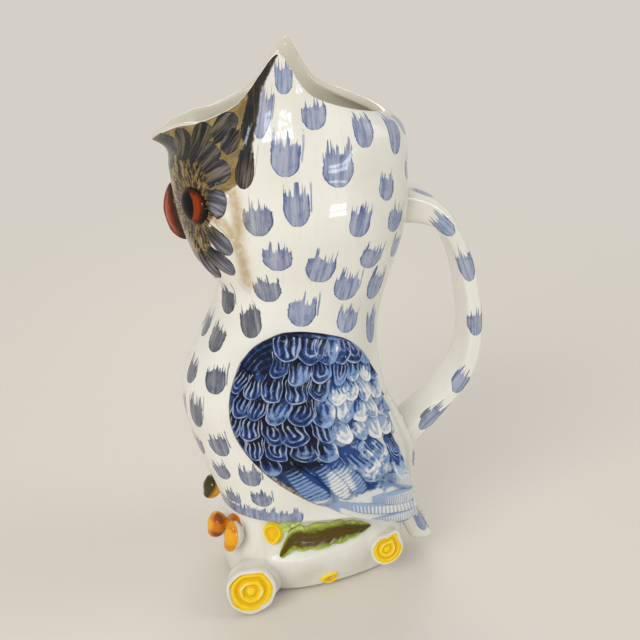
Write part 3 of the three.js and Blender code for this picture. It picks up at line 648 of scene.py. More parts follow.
mask_petals = near_petals + [
    (-foot_deg, foot_height, -tip_deg, *rest)
    for foot_deg, foot_height, tip_deg, *rest in near_petals
]
mask_edge = smooth_curve([
    (152, 2), (155, 14), (158, 30), (162, 43), (167, 49), (176, 49.5), (186, 52), (192, 56),
    (197, 59), (203, 66), (207, 74), (216, 76.5), (225, 76.5), (240, 76.5), (252, 83), (262, 92),
])
mask_foot_height = 152.0
face_per_degree = 0.75


def mask_distance(points, angles):
    """How far places on the jug lie outside the mask's edge, and its negative inside it."""
    side_deg = np.degrees(np.abs(np.arctan2(np.sin(angles), np.cos(angles))))
    outside = (side_deg - mask_edge(points[..., 2])) * face_per_degree
    return np.maximum(outside, mask_foot_height - points[..., 2])


eye_angle_deg = 42.5
eye_angle = radians(eye_angle_deg)
eye_height = 194.0


def eye_frame(side):
    """Middle of an eye on the jug, and its directions away from the beak, up and out."""
    centre = jug_point(side * eye_angle, eye_height)
    across = jug_point(side * (eye_angle + 0.01), eye_height) - centre
    across = across / np.linalg.norm(across)
    up = jug_point(side * eye_angle, eye_height + 0.5) - centre
    up = up - across * (up @ across)
    up = up / np.linalg.norm(up)
    return centre, across, up


def map_eyes(piece):
    """Each face corner's place round the nearer eye, in millimetres outwards and upwards."""
    corners, centres, counts = corner_points(piece)
    left = np.repeat(turned(centres, turn_end_height, -1)[:, 0] > 0, counts)
    values = np.zeros((len(corners), 2))
    for side, chosen in ((1, left), (-1, ~left)):
        centre, across, up = eye_frame(side)
        away = corners[chosen] - centre
        values[chosen] = stacked(away @ across, away @ up)
    add_map(piece, "round_eye", values)


cheek_fold_depth, cheek_fold_half_width = 0.75, 1.7
cheek_ridge_rise, cheek_ridge_half_width, cheek_ridge_inset = 0.9, 2.2, 3.0
ear_fold_depth, ear_fold_deg = 0.8, 74
ear_root_rise, ear_root_deg = 0.5, 80
# Folds of the cheek, by angle and height: one behind the feather beside the eye, and one that
# sweeps from under it down behind the lower feathers.
cheek_folds = [
    [(62, 205), (66, 204), (68.6, 200), (69.5, 193.5), (68.8, 187), (67.5, 182)],
    [(53, 190.5), (59, 189.3), (63.6, 186.5), (66.6, 179.5), (67.6, 171.5), (66, 164), (63, 160)],
]


def line_distance(places, line):
    """Distance of flat places from a line of points, positive on its outer side."""
    nearest = np.full(places.shape[:-1], 1e9)
    for start, end in zip(line[:-1], line[1:]):
        run = end - start
        share = np.clip((places - start) @ run / (run @ run), 0, 1)
        away = places - start - share[..., None] * run
        outer = np.where(run[0] * away[..., 1] >= run[1] * away[..., 0], 1, -1)
        distance = outer * np.hypot(away[..., 0], away[..., 1])
        nearest = np.where(np.abs(distance) < np.abs(nearest), distance, nearest)
    return nearest


def cheek_distances(angle, height):
    side_deg = np.degrees(np.abs(angle))
    places = stacked(side_deg * face_per_degree, height)
    distances = []
    for marks in cheek_folds:
        line = np.array(marks) * (face_per_degree, 1)
        for _ in range(3):
            cut = stacked(mix(line[:-1], line[1:], 0.25), mix(line[:-1], line[1:], 0.75))
            cut = cut.swapaxes(1, 2).reshape(-1, 2)
            line = np.concatenate([line[:1], cut, line[-1:]])
        distances.append(line_distance(places, line))
    return distances


def jug_relief(angle, height):
    """How far the skin stands out from its plain loft: the folds of the cheek with a soft ridge
    inside each, and a fold where the ear grows out of the brow."""
    side_deg = np.degrees(np.abs(angle))
    relief = 0.0
    for away in cheek_distances(angle, height):
        ridge = cheek_ridge_rise * hump(away + cheek_ridge_inset, cheek_ridge_half_width)
        relief = relief + ridge - cheek_fold_depth * hump(away, cheek_fold_half_width)
    fold = ear_root_rise * hump(side_deg - ear_root_deg, 3.4)
    fold = fold - ear_fold_depth * hump(side_deg - ear_fold_deg, 2.6)
    return relief + fold * ease(height, 206, 216) * (1 - ease(height, 246, 256))


front_columns = 190
back_columns = 124
face_band_deg = 80
front_angles = np.linspace(-face_band_deg, face_band_deg, front_columns, endpoint=False)
back_angles = np.linspace(face_band_deg, 360 - face_band_deg, back_columns, endpoint=False)
jug_angles = np.radians(np.concatenate([front_angles, back_angles]))
jug_angles = np.arctan2(np.sin(jug_angles), np.cos(jug_angles))
hem_insets = np.array([0.9, 0.25, 0.0])
outer_heights = np.concatenate([
    hem_height + np.array([0.0, 0.25, 0.8]),
    np.linspace(hem_height + 1.6, mask_foot_height, 80, endpoint=False),
    np.linspace(mask_foot_height, brow_height, 78, endpoint=False),
])
crown_rises = np.linspace(0, 1, 52)
rim_turns = np.linspace(0, pi, 8)[1:-1]
inner_rises = np.linspace(1, 0, 22)
inner_heights = np.linspace(brow_height, inside_floor_height + floor_corner, 36)[1:]
floor_turns = np.linspace(0, pi / 2, 6)[1:]

angles, heights = np.meshgrid(jug_angles, outer_heights)
crown_angles, rises = np.meshgrid(jug_angles, crown_rises)
outer = np.concatenate([jug_point(angles, heights), crown_point(crown_angles, rises)])
outer_angles = np.concatenate([angles, crown_angles])
outer = outer + grid_normals(outer) * jug_relief(outer_angles, outer[..., 2])[..., None]
for row, inset in enumerate(hem_insets):
    outer[row] = jug_point(jug_angles, outer_heights[row], -inset)
top_rises = np.ones(len(jug_angles))
rim_rows = np.array([
    crown_point(jug_angles, top_rises, wall * (1 - cos(t)) / 2, rim_crest * sin(t) ** 0.8)
    for t in rim_turns
])
inner_angles, inner_rise_grid = np.meshgrid(jug_angles, inner_rises)
inner_crown = crown_point(inner_angles, inner_rise_grid, wall)
inner_angles, inner_height_grid = np.meshgrid(jug_angles, inner_heights)
inner = jug_point(inner_angles, inner_height_grid, -wall)
floor_rows = np.array([
    jug_point(
        jug_angles,
        inside_floor_height + floor_corner * (1 - sin(t)),
        -wall - floor_corner * (1 - cos(t)),
    )
    for t in floor_turns
])

cream = (0.83, 0.82, 0.755, 1)
cream_grey = (0.75, 0.73, 0.65, 1)
cream_line = (0.6, 0.57, 0.5, 1)
dab_pale = (0.34, 0.4, 0.55, 1)
dab_mauve = (0.36, 0.37, 0.47, 1)
dab_deep = (0.06, 0.1, 0.28, 1)
# Greys of the chest dabs: their own grey, darkened as painted shade.
dab_grey_shade_pale = (0.115, 0.118, 0.14, 1)
dab_grey_shade_deep = (0.016, 0.018, 0.03, 1)
ochre = (0.22, 0.14, 0.04, 1)
ochre_pale = (0.36, 0.26, 0.11, 1)
fold_ochre = (0.46, 0.3, 0.09, 1)
petal_dark = (0.013, 0.014, 0.017, 1)
petal_brown = (0.15, 0.12, 0.075, 1)
petal_lilac_dark = (0.11, 0.105, 0.13, 1)
petal_lilac = (0.34, 0.34, 0.45, 1)
hair_gold = (0.2, 0.13, 0.04, 1)
hair_tan = (0.36, 0.27, 0.14, 1)
sponge_depth = 0.00003


def cream_ground(glaze):
    """Cream glaze, greyer where it is thin, with the fine upright lines of the sponge that
    smoothed the clay. Returns its colour and its lines."""
    place = glaze.place()
    x, y, z = glaze.parts(place)
    cloud = glaze.noise(place, 24.0, 3.0)
    upright = glaze.joined(x * 700.0, y * 700.0, z * 16.0)
    lines = glaze.noise(upright)
    color = glaze.fade(cloud, 0.4, 0.75, cream, cream_grey)
    return glaze.blend(glaze.step(lines, 0.56, 0.8, 0.0, 0.2), color, cream_line), lines


def painted_dabs(glaze, ground, stroke_map, kind_map):
    """Blue dabs over the ground, darkest where the colour pooled. On the chest they are greyer and
    darker, partly their own colour and partly painted shade.
    """
    cover, outline, streaks, tips, tone, _, number = brush_stroke(glaze, stroke_map, kind_map)
    cloud = glaze.noise(glaze.place(), 330.0, 3.0, 0.6)
    dark = outline * 0.85 + glaze.step(streaks, 0.4, 0.72, 0.0, 0.75)
    dark = dark + (tips * 0.55 + glaze.step(cloud, 0.45, 0.7, -0.1, 0.2))
    dark = glaze.least(glaze.most(dark, 0.0), 1.0)
    mauve = glaze.math("FRACT", number * 5.3) * 0.7
    blue = glaze.blend(dark, glaze.blend(mauve, dab_pale, dab_mauve), dab_deep)
    # Grey of the chest dabs, their own grey darkened as painted shade.
    grey = glaze.blend(dark, dab_grey_shade_pale, dab_grey_shade_deep)
    paint = glaze.blend(tone, blue, grey)
    thin = glaze.step(streaks, 0.28, 0.5, 0.72, 0.97)
    return glaze.blend(cover * thin, ground, paint)


def painted_mask(glaze, ground, outside):
    """Face mask over the ground: an ochre wash inside the mask's edge, dark petals on it, and
    tufts of gold and dark hairs that stream away from the eyes."""
    across, up, _ = glaze.parts(glaze.map("round_eye"))
    wide = glaze.most(across * 1.6, across * -0.9)
    tall = up * 0.7
    radius = glaze.math("SQRT", wide * wide + tall * tall)
    near = glaze.math("SQRT", across * across + up * up + 0.001)
    ray = glaze.joined(across / near * 6.0, up / near * 6.0, near * 0.12)
    hairs = glaze.noise(ray, 1.9, 3.0, 0.7)
    patches = glaze.noise(glaze.place(), 90.0, 3.0)
    wash = glaze.fade(hairs, 0.35, 0.65, ochre, ochre_pale)
    wash = glaze.blend(glaze.step(patches, 0.45, 0.7, 0.0, 0.75), wash, petal_brown)
    color = glaze.blend(outside, wash, ground)
    cover, outline, streaks, _, tone, along, _ = brush_stroke(
        glaze, "petal", "petal_kind", 0.12, 0.4, 0.6
    )
    streak = glaze.step(streaks, 0.42, 0.66)
    petal = glaze.blend(streak, petal_dark, petal_brown)
    lilac = glaze.blend(streak, petal_lilac_dark, petal_lilac)
    lilac = glaze.fade(along, 0.25, 0.75, lilac, petal)
    petal = glaze.blend(tone, petal, lilac)
    petal = glaze.blend(outline * 0.9, petal, petal_dark)
    color = glaze.blend(cover, color, petal)
    tuft_edge = radius + (hairs - 0.5) * 17.0
    tuft = glaze.step(tuft_edge, 15.5, 13.5) * (1.0 - outside)
    tuft_color = glaze.fade(hairs, 0.46, 0.53, petal_dark, hair_gold)
    tuft_color = glaze.fade(hairs, 0.55, 0.66, tuft_color, hair_tan)
    return glaze.blend(tuft, color, tuft_color)


body_glaze = Glaze("cream_glaze_with_dabs")
body_ground, body_lines = cream_ground(body_glaze)
dabbed = painted_dabs(body_glaze, body_ground, "dab", "dab_kind")
edge_wobble = body_glaze.noise(body_glaze.place(), 260.0, 3.0)
edge_place = body_glaze.attribute("mask_distance") + (edge_wobble - 0.5) * 3.0
# Ochre in the cheek folds: partly a wash pooled in the grooves and partly painted shade.
fold_wash_and_shade = body_glaze.attribute("cheek_fold") * body_glaze.step(edge_wobble, 0.25, 0.6, 0.4, 0.75)
dabbed = body_glaze.blend(fold_wash_and_shade, dabbed, fold_ochre)
masked = painted_mask(body_glaze, dabbed, body_glaze.step(edge_place, -1.3, 0.5))
_, _, body_height = body_glaze.parts(body_glaze.place())
ear_inner = edge_place + body_glaze.step(body_height, 0.218, 0.232, 0.0, 4.0)
ear_line = body_glaze.step(ear_inner, -4.2, -2.4) * body_glaze.step(edge_place, 0.6, -0.7)
ear_line = ear_line * body_glaze.step(body_height, 0.206, 0.222)
ear_line = ear_line * body_glaze.step(body_lines, 0.3, 0.5, 0.7, 0.95)
masked = body_glaze.blend(ear_line, masked, petal_dark)
# The inside is a darker, warmer cream: painted shade inside the jug.
inside_shade_color = body_glaze.blend(0.55, body_ground, (0.56, 0.5, 0.37, 1))
body_color = body_glaze.blend(body_glaze.attribute("inside"), masked, inside_shade_color)
body_material = body_glaze.finish(body_color, body_lines, sponge_depth)

jug_rings = np.concatenate([outer, rim_rows, inner_crown, inner, floor_rows])
jug = closed_loft("jug_body", jug_rings, body_material)
map_strokes(jug, skin_point, jug_dabs, "dab", "dab_kind")
map_strokes(jug, skin_point, mask_petals, "petal", "petal_kind", 9.0)
map_eyes(jug)
folds = [hump(away + 0.4, 2.6) for away in cheek_distances(outer_angles, outer[..., 2])]
for name, outside, elsewhere, rows in (
    ("mask_distance", mask_distance(outer, outer_angles), 9.0, len(outer)),
    ("cheek_fold", np.maximum(*folds), 0.0, len(outer)),
    ("inside", 0.0, 1.0, len(outer) + 1),
):
    values = np.full(len(jug.data.vertices), elsewhere)
    values[:rows * len(jug_angles)] = np.ravel(outside)
    add_value(jug, name, values)
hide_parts("body_shell")
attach(jug, "root")


# Wings. Each wing is a raised panel modelled on the body: scales with raised rims, three broad
# shells, three slanting quills, and four ribbed feathers on a foot that flares out over the tail.
# The cobalt glaze pools in the hollows in front, runs off the ridges, and thins to white below.
# The hollows, the covered roots and the gaps between feathers are also darkened as painted shade,
# and the pale ridges are partly painted highlight.
wing_top_height = 143.5
wing_foot_height = 43.2
wing_fall = 11.5
wing_front_most_deg = 53.0
wing_back_most_deg = 155.0
# Outline by the share of the way down, with the angle of the front edge and of the back edge.
wing_outline = [
    (0, 92, 98), (0.02, 80, 116), (0.06, 70.5, 128), (0.1, 63.5, 135), (0.14, 59.5, 140),
    (0.2, 55.6, 145.5), (0.3, 54.6, 150.2), (0.4, 55.8, 153), (0.5, 58, 151.5), (0.6, 62.5, 147.5),
    (0.7, 69.5, 142), (0.76, 75.5, 140), (0.82, 83.5, 139.3), (0.87, 90, 138.6), (0.92, 97, 140),
    (0.95, 105.5, 140.5), (0.97, 115, 139.8), (0.985, 121, 137.5), (1, 127, 132),
]
wing_front_edge = smooth_curve([(down, front) for down, front, _ in wing_outline])
wing_back_edge = smooth_curve([(down, back) for down, _, back in wing_outline])
wing_span = wing_top_height - wing_foot_height
wing_flare = 9.0
wing_bed_thickness = 1.1
wing_shoulder_rise = 1.3
wing_most_proud = 3.25
wing_edge_round = 2.0
wing_sink = 1.2
flat_per_degree = 0.8
feather_rim_rise = 0.42
feather_ridge_rise = 0.4
feather_rib_rise = 0.55
feather_edge_drop = 0.8
scale_foot_length = 5.6
scale_pitch_deg = 10.4
scale_row_slope = 0.11
# Rows of scales by the height of the tips, the first and last angle, length and half width.
scale_rows = [
    (124.5, 84, 148, 16.5, 4.9), (116, 86, 153, 12.5, 4.5), (107, 58, 155, 12.5, 4.5),
    (97, 56, 155, 12.5, 4.5), (87, 58, 151, 12.5, 4.5), (77.5, 64, 104, 12.5, 4.5),
    (69.5, 74, 84, 12.5, 4.1),
]
# Long feathers by the angle and height of the tip and of the root, and half the width.
shells = [(137, 68, 140, 84, 4.0), (127, 69, 121, 86, 6.0), (119.5, 62.5, 110, 85, 8.2)]
rump_scales = [(133, 58.5, 137, 72, 4.2)]
quills = [(109, 57.5, 97, 81, 4.6), (100.3, 55.5, 90.5, 82, 4.0), (91.2, 54, 80.5, 81, 4.4)]
foot_feathers = [
    (141, 39.5, 106, 43.5, 3.6), (142, 44, 90, 54.5, 3.3), (141, 49.5, 113, 54, 3.7),
    (140, 56, 121, 64, 4.2),
]


def on_surface(surface, angle, height, proud):
    """Places on a surface given by angle and height, moved out along its normal."""
    turn, climb = 0.008, 0.3
    sideways = surface(angle + turn, height) - surface(angle - turn, height)
    upwards = surface(angle, height + climb) - surface(angle, height - climb)
    normal = np.cross(sideways, upwards)
    normal = normal / np.linalg.norm(normal, axis=-1, keepdims=True)
    return surface(angle, height) + normal * np.asarray(proud)[..., None]


def wing_ground(angle, height):
    """The skin under the wing: the jug's, carried on below its hem and flared at the back."""
    flare = wing_flare * ease(np.degrees(np.abs(angle)), 104, 142) * (1 - ease(height, 40, 76))
    return jug_point(angle, height) + stacked(0, flare, 0)


def wing_height(angle_deg, down):
    """Height at a share of the way down the wing, whose rows fall towards its back."""
    swept = (angle_deg - wing_front_most_deg) / (wing_back_most_deg - wing_front_most_deg)
    return wing_top_height - wing_span * down - wing_fall * swept


outline_downs = np.linspace(0, 1, 61)
outline_degs = np.append(wing_front_edge(outline_downs), wing_back_edge(outline_downs[::-1]))
outline_heights = wing_height(outline_degs, np.append(outline_downs, outline_downs[::-1]))
wing_line = stacked(outline_degs * flat_per_degree, outline_heights)
wing_line = np.concatenate([wing_line, wing_line[:1]])


def wing_room(angle_deg, height):
    """How far inside the wing's outline a place is, in millimetres."""
    return np.abs(line_distance(stacked(angle_deg * flat_per_degree, height), wing_line))


def bed_proud(angle_deg, height, room):
    rounding = np.sqrt(1 - (1 - np.clip(room / wing_edge_round, 0, 1)) ** 2)
    shoulder = ease(height, 112, 124) * (1 - ease(angle_deg, 76, 88))
    return (wing_bed_thickness + wing_shoulder_rise * shoulder) * rounding


def feather_sheet(
    name, length, half_width, foot_length, kind, spacing, dome=0.0, root=1.0, spokes=44, rings=13
):
    """One feather of modelled clay, flat, with its tip at the origin and its root, a share of its
    width, at +Y. Rings of points run from its edge in to its middle line: a raised rim, then
    ridges of one kind: loops inside the rim, upright bars, or ribs across."""
    turn = np.linspace(-1, 1, spokes + 1)
    side_share = (length - foot_length) / (length - foot_length + 1.4 * foot_length)
    on_side = np.abs(turn) > 1 - side_share
    climb = (np.abs(turn) - (1 - side_share)) / side_share
    bend = np.clip(turn / (1 - side_share), -1, 1) * pi / 2
    edge_x = np.where(on_side, np.sign(turn) * mix(1, root, climb ** 2), np.sin(bend)) * half_width
    edge_y = np.where(on_side, mix(foot_length, length, climb), foot_length * (1 - np.cos(bend)))
    spine_y = np.maximum(edge_y, foot_length)
    depths = np.concatenate([[0, 0.03, 0.09, 0.15, 0.22, 0.3], np.linspace(0.38, 1, rings - 6)])
    points, ridges, pools = [], [], []
    for row, depth in enumerate(depths):
        x = edge_x * (1 - depth)
        y = mix(edge_y, spine_y, depth)
        from_edge = depth * half_width
        lift = 0.15 + 1.15 * (1 - y / length)
        rim = hump(from_edge - 0.6, 0.34)
        inner = ease(from_edge, 0.8, 1.4) * (1 - ease(y, 0.7 * length, 0.95 * length))
        ridge = 0.0
        if kind == "loops":
            ridge = wave(from_edge - 0.6, spacing) ** 1.5
        if kind == "bars":
            ridge = wave(x, spacing) ** 1.5 * ease(y, 0.8, 2.4)
        if kind == "ribs":
            ridge = wave(y - 0.25 * x, spacing)
        relief = feather_rim_rise * rim + feather_ridge_rise * ridge * inner
        if kind == "ribs":
            relief = feather_rib_rise * ridge * inner
        z = lift * ease(from_edge, -0.15, 0.35) + relief
        z = z + dome * np.sqrt(1 - (1 - depth) ** 2) * (1 - 0.85 * ease(y / length, 0.6, 1))
        if row == 0:
            z = 0 * y - feather_edge_drop
        points.append(stacked(x, y, z))
        ridges.append(np.clip((kind != "ribs") * rim + 0.95 * ridge * inner, 0, 1) + 0 * y)
        # Pool value: dark towards the root, which the row above covers, and along the edge; partly
        # pooled glaze and partly painted shade.
        groove = 1.1 * hump(from_edge, 0.9) if kind == "ribs" else hump(from_edge, 0.3)
        shade, start = (0.35, 0.12) if kind == "ribs" else (0.7, -0.1)
        pools.append(shade * ease(y / length, 0.35, 0.75) + start + 0.9 * groove)
    points = np.array(points)
    faces = grid_quads(len(depths), spokes + 1, False).tolist()
    sheet = add_piece(name, points, faces, None)
    add_value(sheet, "ridge", np.array(ridges))
    add_value(sheet, "pool_and_shade", np.array(pools))
    bpy.context.scene.collection.objects.unlink(sheet)
    return sheet


class Tool(Sheet):
    """Geometry node tree with named inputs, which ends in real geometry with its glaze."""

    def __init__(self, name, inputs):
        super().__init__(bpy.data.node_groups.new(name, "GeometryNodeTree"))
        self.keys = {
            key: self.tree.interface.new_socket(
                name=key, in_out="INPUT", socket_type=f"NodeSocket{kind}"
            ).identifier
            for key, kind in inputs.items()
        }
        self.tree.interface.new_socket(
            name="Shape", in_out="OUTPUT", socket_type="NodeSocketGeometry"
        )
        start = self.node("NodeGroupInput")
        self.given = {key: Mark(self, start.outputs[key]) for key in inputs}

    def live(self, sockets, name):
        """The socket of this name that the node's settings leave in use."""
        return next(socket for socket in sockets if socket.name == name and socket.enabled)

    def stored(self, name, kind):
        node = self.node("GeometryNodeInputNamedAttribute", {"Name": name}, data_type=kind)
        return Mark(self, self.live(node.outputs, "Attribute"))

    def end(self, shape):
        real = self.mark("GeometryNodeRealizeInstances", {0: shape})
        glazed = {"Geometry": real, "Material": self.given["Glaze"]}
        self.node("NodeGroupOutput", {0: self.mark("GeometryNodeSetMaterial", glazed)})

    def shape(self, piece, values):
        """Runs the tree on an object and returns the plain mesh that it makes."""
        modifier = piece.modifiers.new(self.tree.name, "NODES")
        modifier.node_group = self.tree
        for name, value in values.items():
            modifier[self.keys[name]] = value
        evaluated = piece.evaluated_get(bpy.context.evaluated_depsgraph_get())
        mesh = bpy.data.meshes.new_from_object(evaluated)
        piece.modifiers.remove(modifier)
        return mesh


# The feathers are laid by a node tree: one on every point of a flat plan, turned and sized by
# the plan's own values, and each numbered with a seeded random value.
laying = Tool(
    "lay_feathers", {"Plan": "Geometry", "Feather": "Object", "Seed": "Int", "Glaze": "Material"}
)
turn = laying.joined(0.0, 0.0, laying.stored("turn", "FLOAT"))
laid = laying.mark("GeometryNodeInstanceOnPoints", {
    "Points": laying.given["Plan"],
    "Instance": laying.mark(
        "GeometryNodeObjectInfo", {"Object": laying.given["Feather"]}, "Geometry"
    ),
    "Rotation": laying.mark("FunctionNodeEulerToRotation", {0: turn}),
    "Scale": laying.stored("size", "FLOAT_VECTOR"),
})
random = laying.node("FunctionNodeRandomValue", {"Seed": laying.given["Seed"]}, data_type="FLOAT")
numbered = laying.node(
    "GeometryNodeStoreNamedAttribute", {"Geometry": laid, "Name": "number"},
    data_type="FLOAT", domain="INSTANCE",
)
laying.feed(
    laying.live(numbered.inputs, "Value"), Mark(laying, laying.live(random.outputs, "Value"))
)
laying.end(Mark(laying, numbered.outputs[0]))


def laid_feathers(name, sheet, plan, seed, material):
    """Flat layer of feathers. A plan row is the tip's angle and height, the turn of the
    feather's root off straight up, its height off the bed, and its size across and along."""
    plan = np.array(plan)
    flat = stacked(plan[:, 0] * flat_per_degree, plan[:, 1], plan[:, 3])
    layer = add_piece(name, flat, [], material)
    add_value(layer, "turn", plan[:, 2])
    sizes = layer.data.attributes.new("size", "FLOAT_VECTOR", "POINT")
    sizes.data.foreach_set(
        "vector", stacked(plan[:, 4], plan[:, 5], 1.0).astype(np.float32).ravel()
    )
    layer.data = laying.shape(layer, {"Feather": sheet, "Seed": seed, "Glaze": material})
    return layer


foot_sag = 3.0


def wrap_on_wing(piece, side, unsteady, paler):
    """Bends a flat layer round the body, and keeps it inside the wing's outline. The hand that
    modelled the clay was unsteady, so no two feathers come out alike."""
    x, y, lift = point_places(piece.data).T
    slip = 0.5 * np.sin(y / 2.7 + 1.3 * np.sin(x / 6)) + 0.25 * np.sin(y / 1.1 + x / 1.9)
    climb = 0.5 * np.sin(x / 2.9 + 1.1 * np.sin(y / 7)) + 0.25 * np.sin(x / 1.3 + y / 2.3)
    angle_deg, height = (x + unsteady * slip) / flat_per_degree, y + unsteady * climb
    sag = foot_sag * np.sin(pi * np.clip((angle_deg - 90) / 50, 0, 1))
    height = height - sag * (1 - ease(y, 50, 58))
    margin = 0.5
    down = np.clip((wing_height(angle_deg, 0) - height) / wing_span, 0.028, 0.995)
    kept_deg = np.clip(
        angle_deg,
        wing_front_edge(down) + margin / flat_per_degree,
        wing_back_edge(down) - margin / flat_per_degree,
    )
    kept_height = wing_height(kept_deg, down)
    room = wing_room(kept_deg, kept_height)
    proud = bed_proud(kept_deg, kept_height, room) + lift * ease(room, 0.3, 2.6)
    most = wing_most_proud + 1.4 * (1 - ease(kept_height, 76, 86))
    proud = np.minimum(proud - 0.5 * (1 - ease(room, 0.4, 1.0)), most)
    points = on_surface(wing_ground, np.radians(kept_deg) * side, kept_height, proud)
    move_points(piece.data, points)
    if side < 0:
        piece.data.flip_normals()
    add_value(piece, "cobalt", wing_cobalt(kept_deg, kept_height) - paler)


# Strength of the blue along the wing by angle: along its foot, over the quills, over the scales
# and along its top row, with the heights between which one runs into the next.
cobalt_rows = [
    (0, 1, [(90, 0.16), (112, 0.16), (126, 0.3), (140, 0.4)]),
    (55, 61, [(60, 0.75), (84, 0.62), (91, 0.58), (96, 0.3), (102, 0.34), (107, 0.46), (126, 0.46),
              (132, 0.4), (140, 0.26)]),
    (70, 80, [(54, 1.0), (92, 0.98), (103, 0.46), (112, 0.24), (127, 0.2), (136, 0.3), (146, 0.3)]),
    (108, 122, [(54, 1.0), (98, 0.96), (114, 0.74), (150, 0.6)]),
]


def wing_cobalt(angle_deg, height):
    value = 0.0
    for low, high, row in cobalt_rows:
        value = mix(value, smooth_curve(row)(angle_deg), ease(height, low, high))
    return value


# The hollow colour, near black, is partly pooled cobalt and partly painted shade.
wing_hollow_shade = (0.003, 0.006, 0.022, 1)
wing_blue = (0.019, 0.06, 0.212, 1)
wing_ridge_and_highlight = (0.38, 0.43, 0.6, 1)
wing_light_blue = (0.22, 0.33, 0.56, 1)
wing_pale_blue = (0.31, 0.41, 0.58, 1)
wing_white = (0.77, 0.77, 0.75, 1)
wing_brown = (0.07, 0.055, 0.045, 1)
wing_tan = (0.5, 0.42, 0.3, 1)


def wing_material(name, numbered, patchy):
    glaze = Glaze(name, 0.18, 0.5)
    place = glaze.place()
    ridge = glaze.attribute("ridge")
    cobalt = glaze.attribute("cobalt")
    patches = glaze.noise(place, 95.0, 3.0, 0.6)
    runs = glaze.noise(place, 460.0, 4.0, 0.7)
    amount = cobalt + (patches - 0.5) * (1.6 * patchy)
    # Pooled glaze and painted shade: hollows, covered roots and gaps go deep blue to near black.
    pooled = (runs - 0.5) * (1.5 * patchy) + (0.7 - ridge)
    pooled = pooled + glaze.attribute("pool_and_shade")
    if numbered:
        own = (glaze.attribute("number") - 0.5) * 0.4
        amount = amount + own
    # Pale ridges where the glaze runs thin, partly painted highlight; noise breaks them up.
    bare_and_sheen_breaks = glaze.noise(place, 170.0, 2.0)
    bare = ridge + (runs - 0.5) * 0.7
    bare = bare + (bare_and_sheen_breaks - 0.5) * (1.3 * patchy)
    thick = glaze.fade(pooled, 0.2, 0.78, wing_blue, wing_hollow_shade)
    thick = glaze.fade(bare, 0.56, 1.0, thick, wing_ridge_and_highlight)
    thin = glaze.fade(pooled, 0.3, 0.85, wing_white, wing_pale_blue)
    middling = glaze.fade(pooled, 0.3, 0.9, wing_light_blue, wing_blue)
    color = glaze.fade(amount, 0.3, 0.46, thin, middling)
    color = glaze.fade(amount, 0.58, 0.82, color, thick)
    if not numbered:
        streaked = glaze.fade(runs, 0.4, 0.6, wing_brown, wing_tan)
        color = glaze.blend(glaze.attribute("brown"), color, streaked)
    return glaze.finish(color, runs, 0.00008)


scale_length, scale_half_width = 12.5, 4.5
wing_bed_glaze = wing_material("cobalt_glaze_bed", False, 1.0)
wing_scale_glaze = wing_material("cobalt_glaze_scales", True, 1.0)
wing_rib_glaze = wing_material("cobalt_glaze_ribs", False, 0.35)
scale_sheets = {
    name: feather_sheet(f"{name}_scale", scale_length, scale_half_width, scale_foot_length, *form)
    for name, form in (
        ("looped", ("loops", 1.9)), ("barred", ("bars", 2.3)), ("hollow", ("loops", 4.2)),
        ("plain", ("plain", 1.0, 0.25)),
    )
}
shell_size, quill_size, foot_size = (22.0, 7.0), (24.0, 4.3), (42.0, 3.8)
shell_sheet = feather_sheet("shell", *shell_size, 9.0, "loops", 2.2, 0.9, 0.9, 60, 22)
quill_sheet = feather_sheet("quill", *quill_size, 7.0, "ribs", 1.45, 2.3, 0.5, 110, 14)
foot_sheet = feather_sheet("foot_feather", *foot_size, 5.0, "ribs", 1.6, 0.5, 0.25, 190, 11)
scale_rng = np.random.default_rng(11)
scale_plans = {kind: [] for kind in scale_sheets}
for row, (tip_height, first_deg, last_deg, length, half_width) in enumerate(scale_rows):
    for step in range(12):
        angle_deg = first_deg + scale_pitch_deg * (step - 0.5 * (row % 2))
        if angle_deg > last_deg:
            break
        slide, drop, lean, size_choice = scale_rng.uniform(-1, 1, 4)
        angle_deg = angle_deg + 0.8 * slide
        height = tip_height - scale_row_slope * (angle_deg - 93) + 0.9 * drop
        turn_deg = 20 * ease(angle_deg, 95, 145) - 14 * (1 - ease(angle_deg, 58, 80))
        size = length / scale_length if row == 0 else 1 + 0.09 * size_choice
        lift = 0.5 - 0.08 * row
        kind = ("looped", "barred", "hollow")[int(scale_rng.integers(3))]
        kind = "plain" if angle_deg > 138 else kind
        scale_plans[kind].append((
            angle_deg, height, radians(turn_deg + 9 * lean), lift,
            size * half_width / scale_half_width, size,
        ))


def long_plan(rows, lift, climb, length=scale_length, half_width=scale_half_width):
    """Plan of long feathers, each laid a little higher than the one before it."""
    plan = []
    for i, (tip_deg, tip_height, root_deg, root_height, half) in enumerate(rows):
        run = np.array([(root_deg - tip_deg) * flat_per_degree, root_height - tip_height])
        turn = np.arctan2(-run[0], run[1])
        size = np.linalg.norm(run) / length
        plan.append((tip_deg, tip_height, turn, lift + climb * i, half / half_width, size))
    return plan


wing_layers = [(kind, scale_sheets[kind], scale_plans[kind], 1.0, 0.0) for kind in scale_sheets]
wing_layers += [
    ("foot", foot_sheet, long_plan(foot_feathers, -0.4, 0.45, *foot_size), 0.3, 0.04),
    ("quills", quill_sheet, long_plan(quills, -0.5, 0.15, *quill_size), 0.35, 0.0),
    ("rump", scale_sheets["plain"], long_plan(rump_scales, 0.9, 0.0), 0.5, 0.0),
    ("shells", shell_sheet, long_plan(shells, -0.5, 0.15, *shell_size), 0.8, -0.28),
]

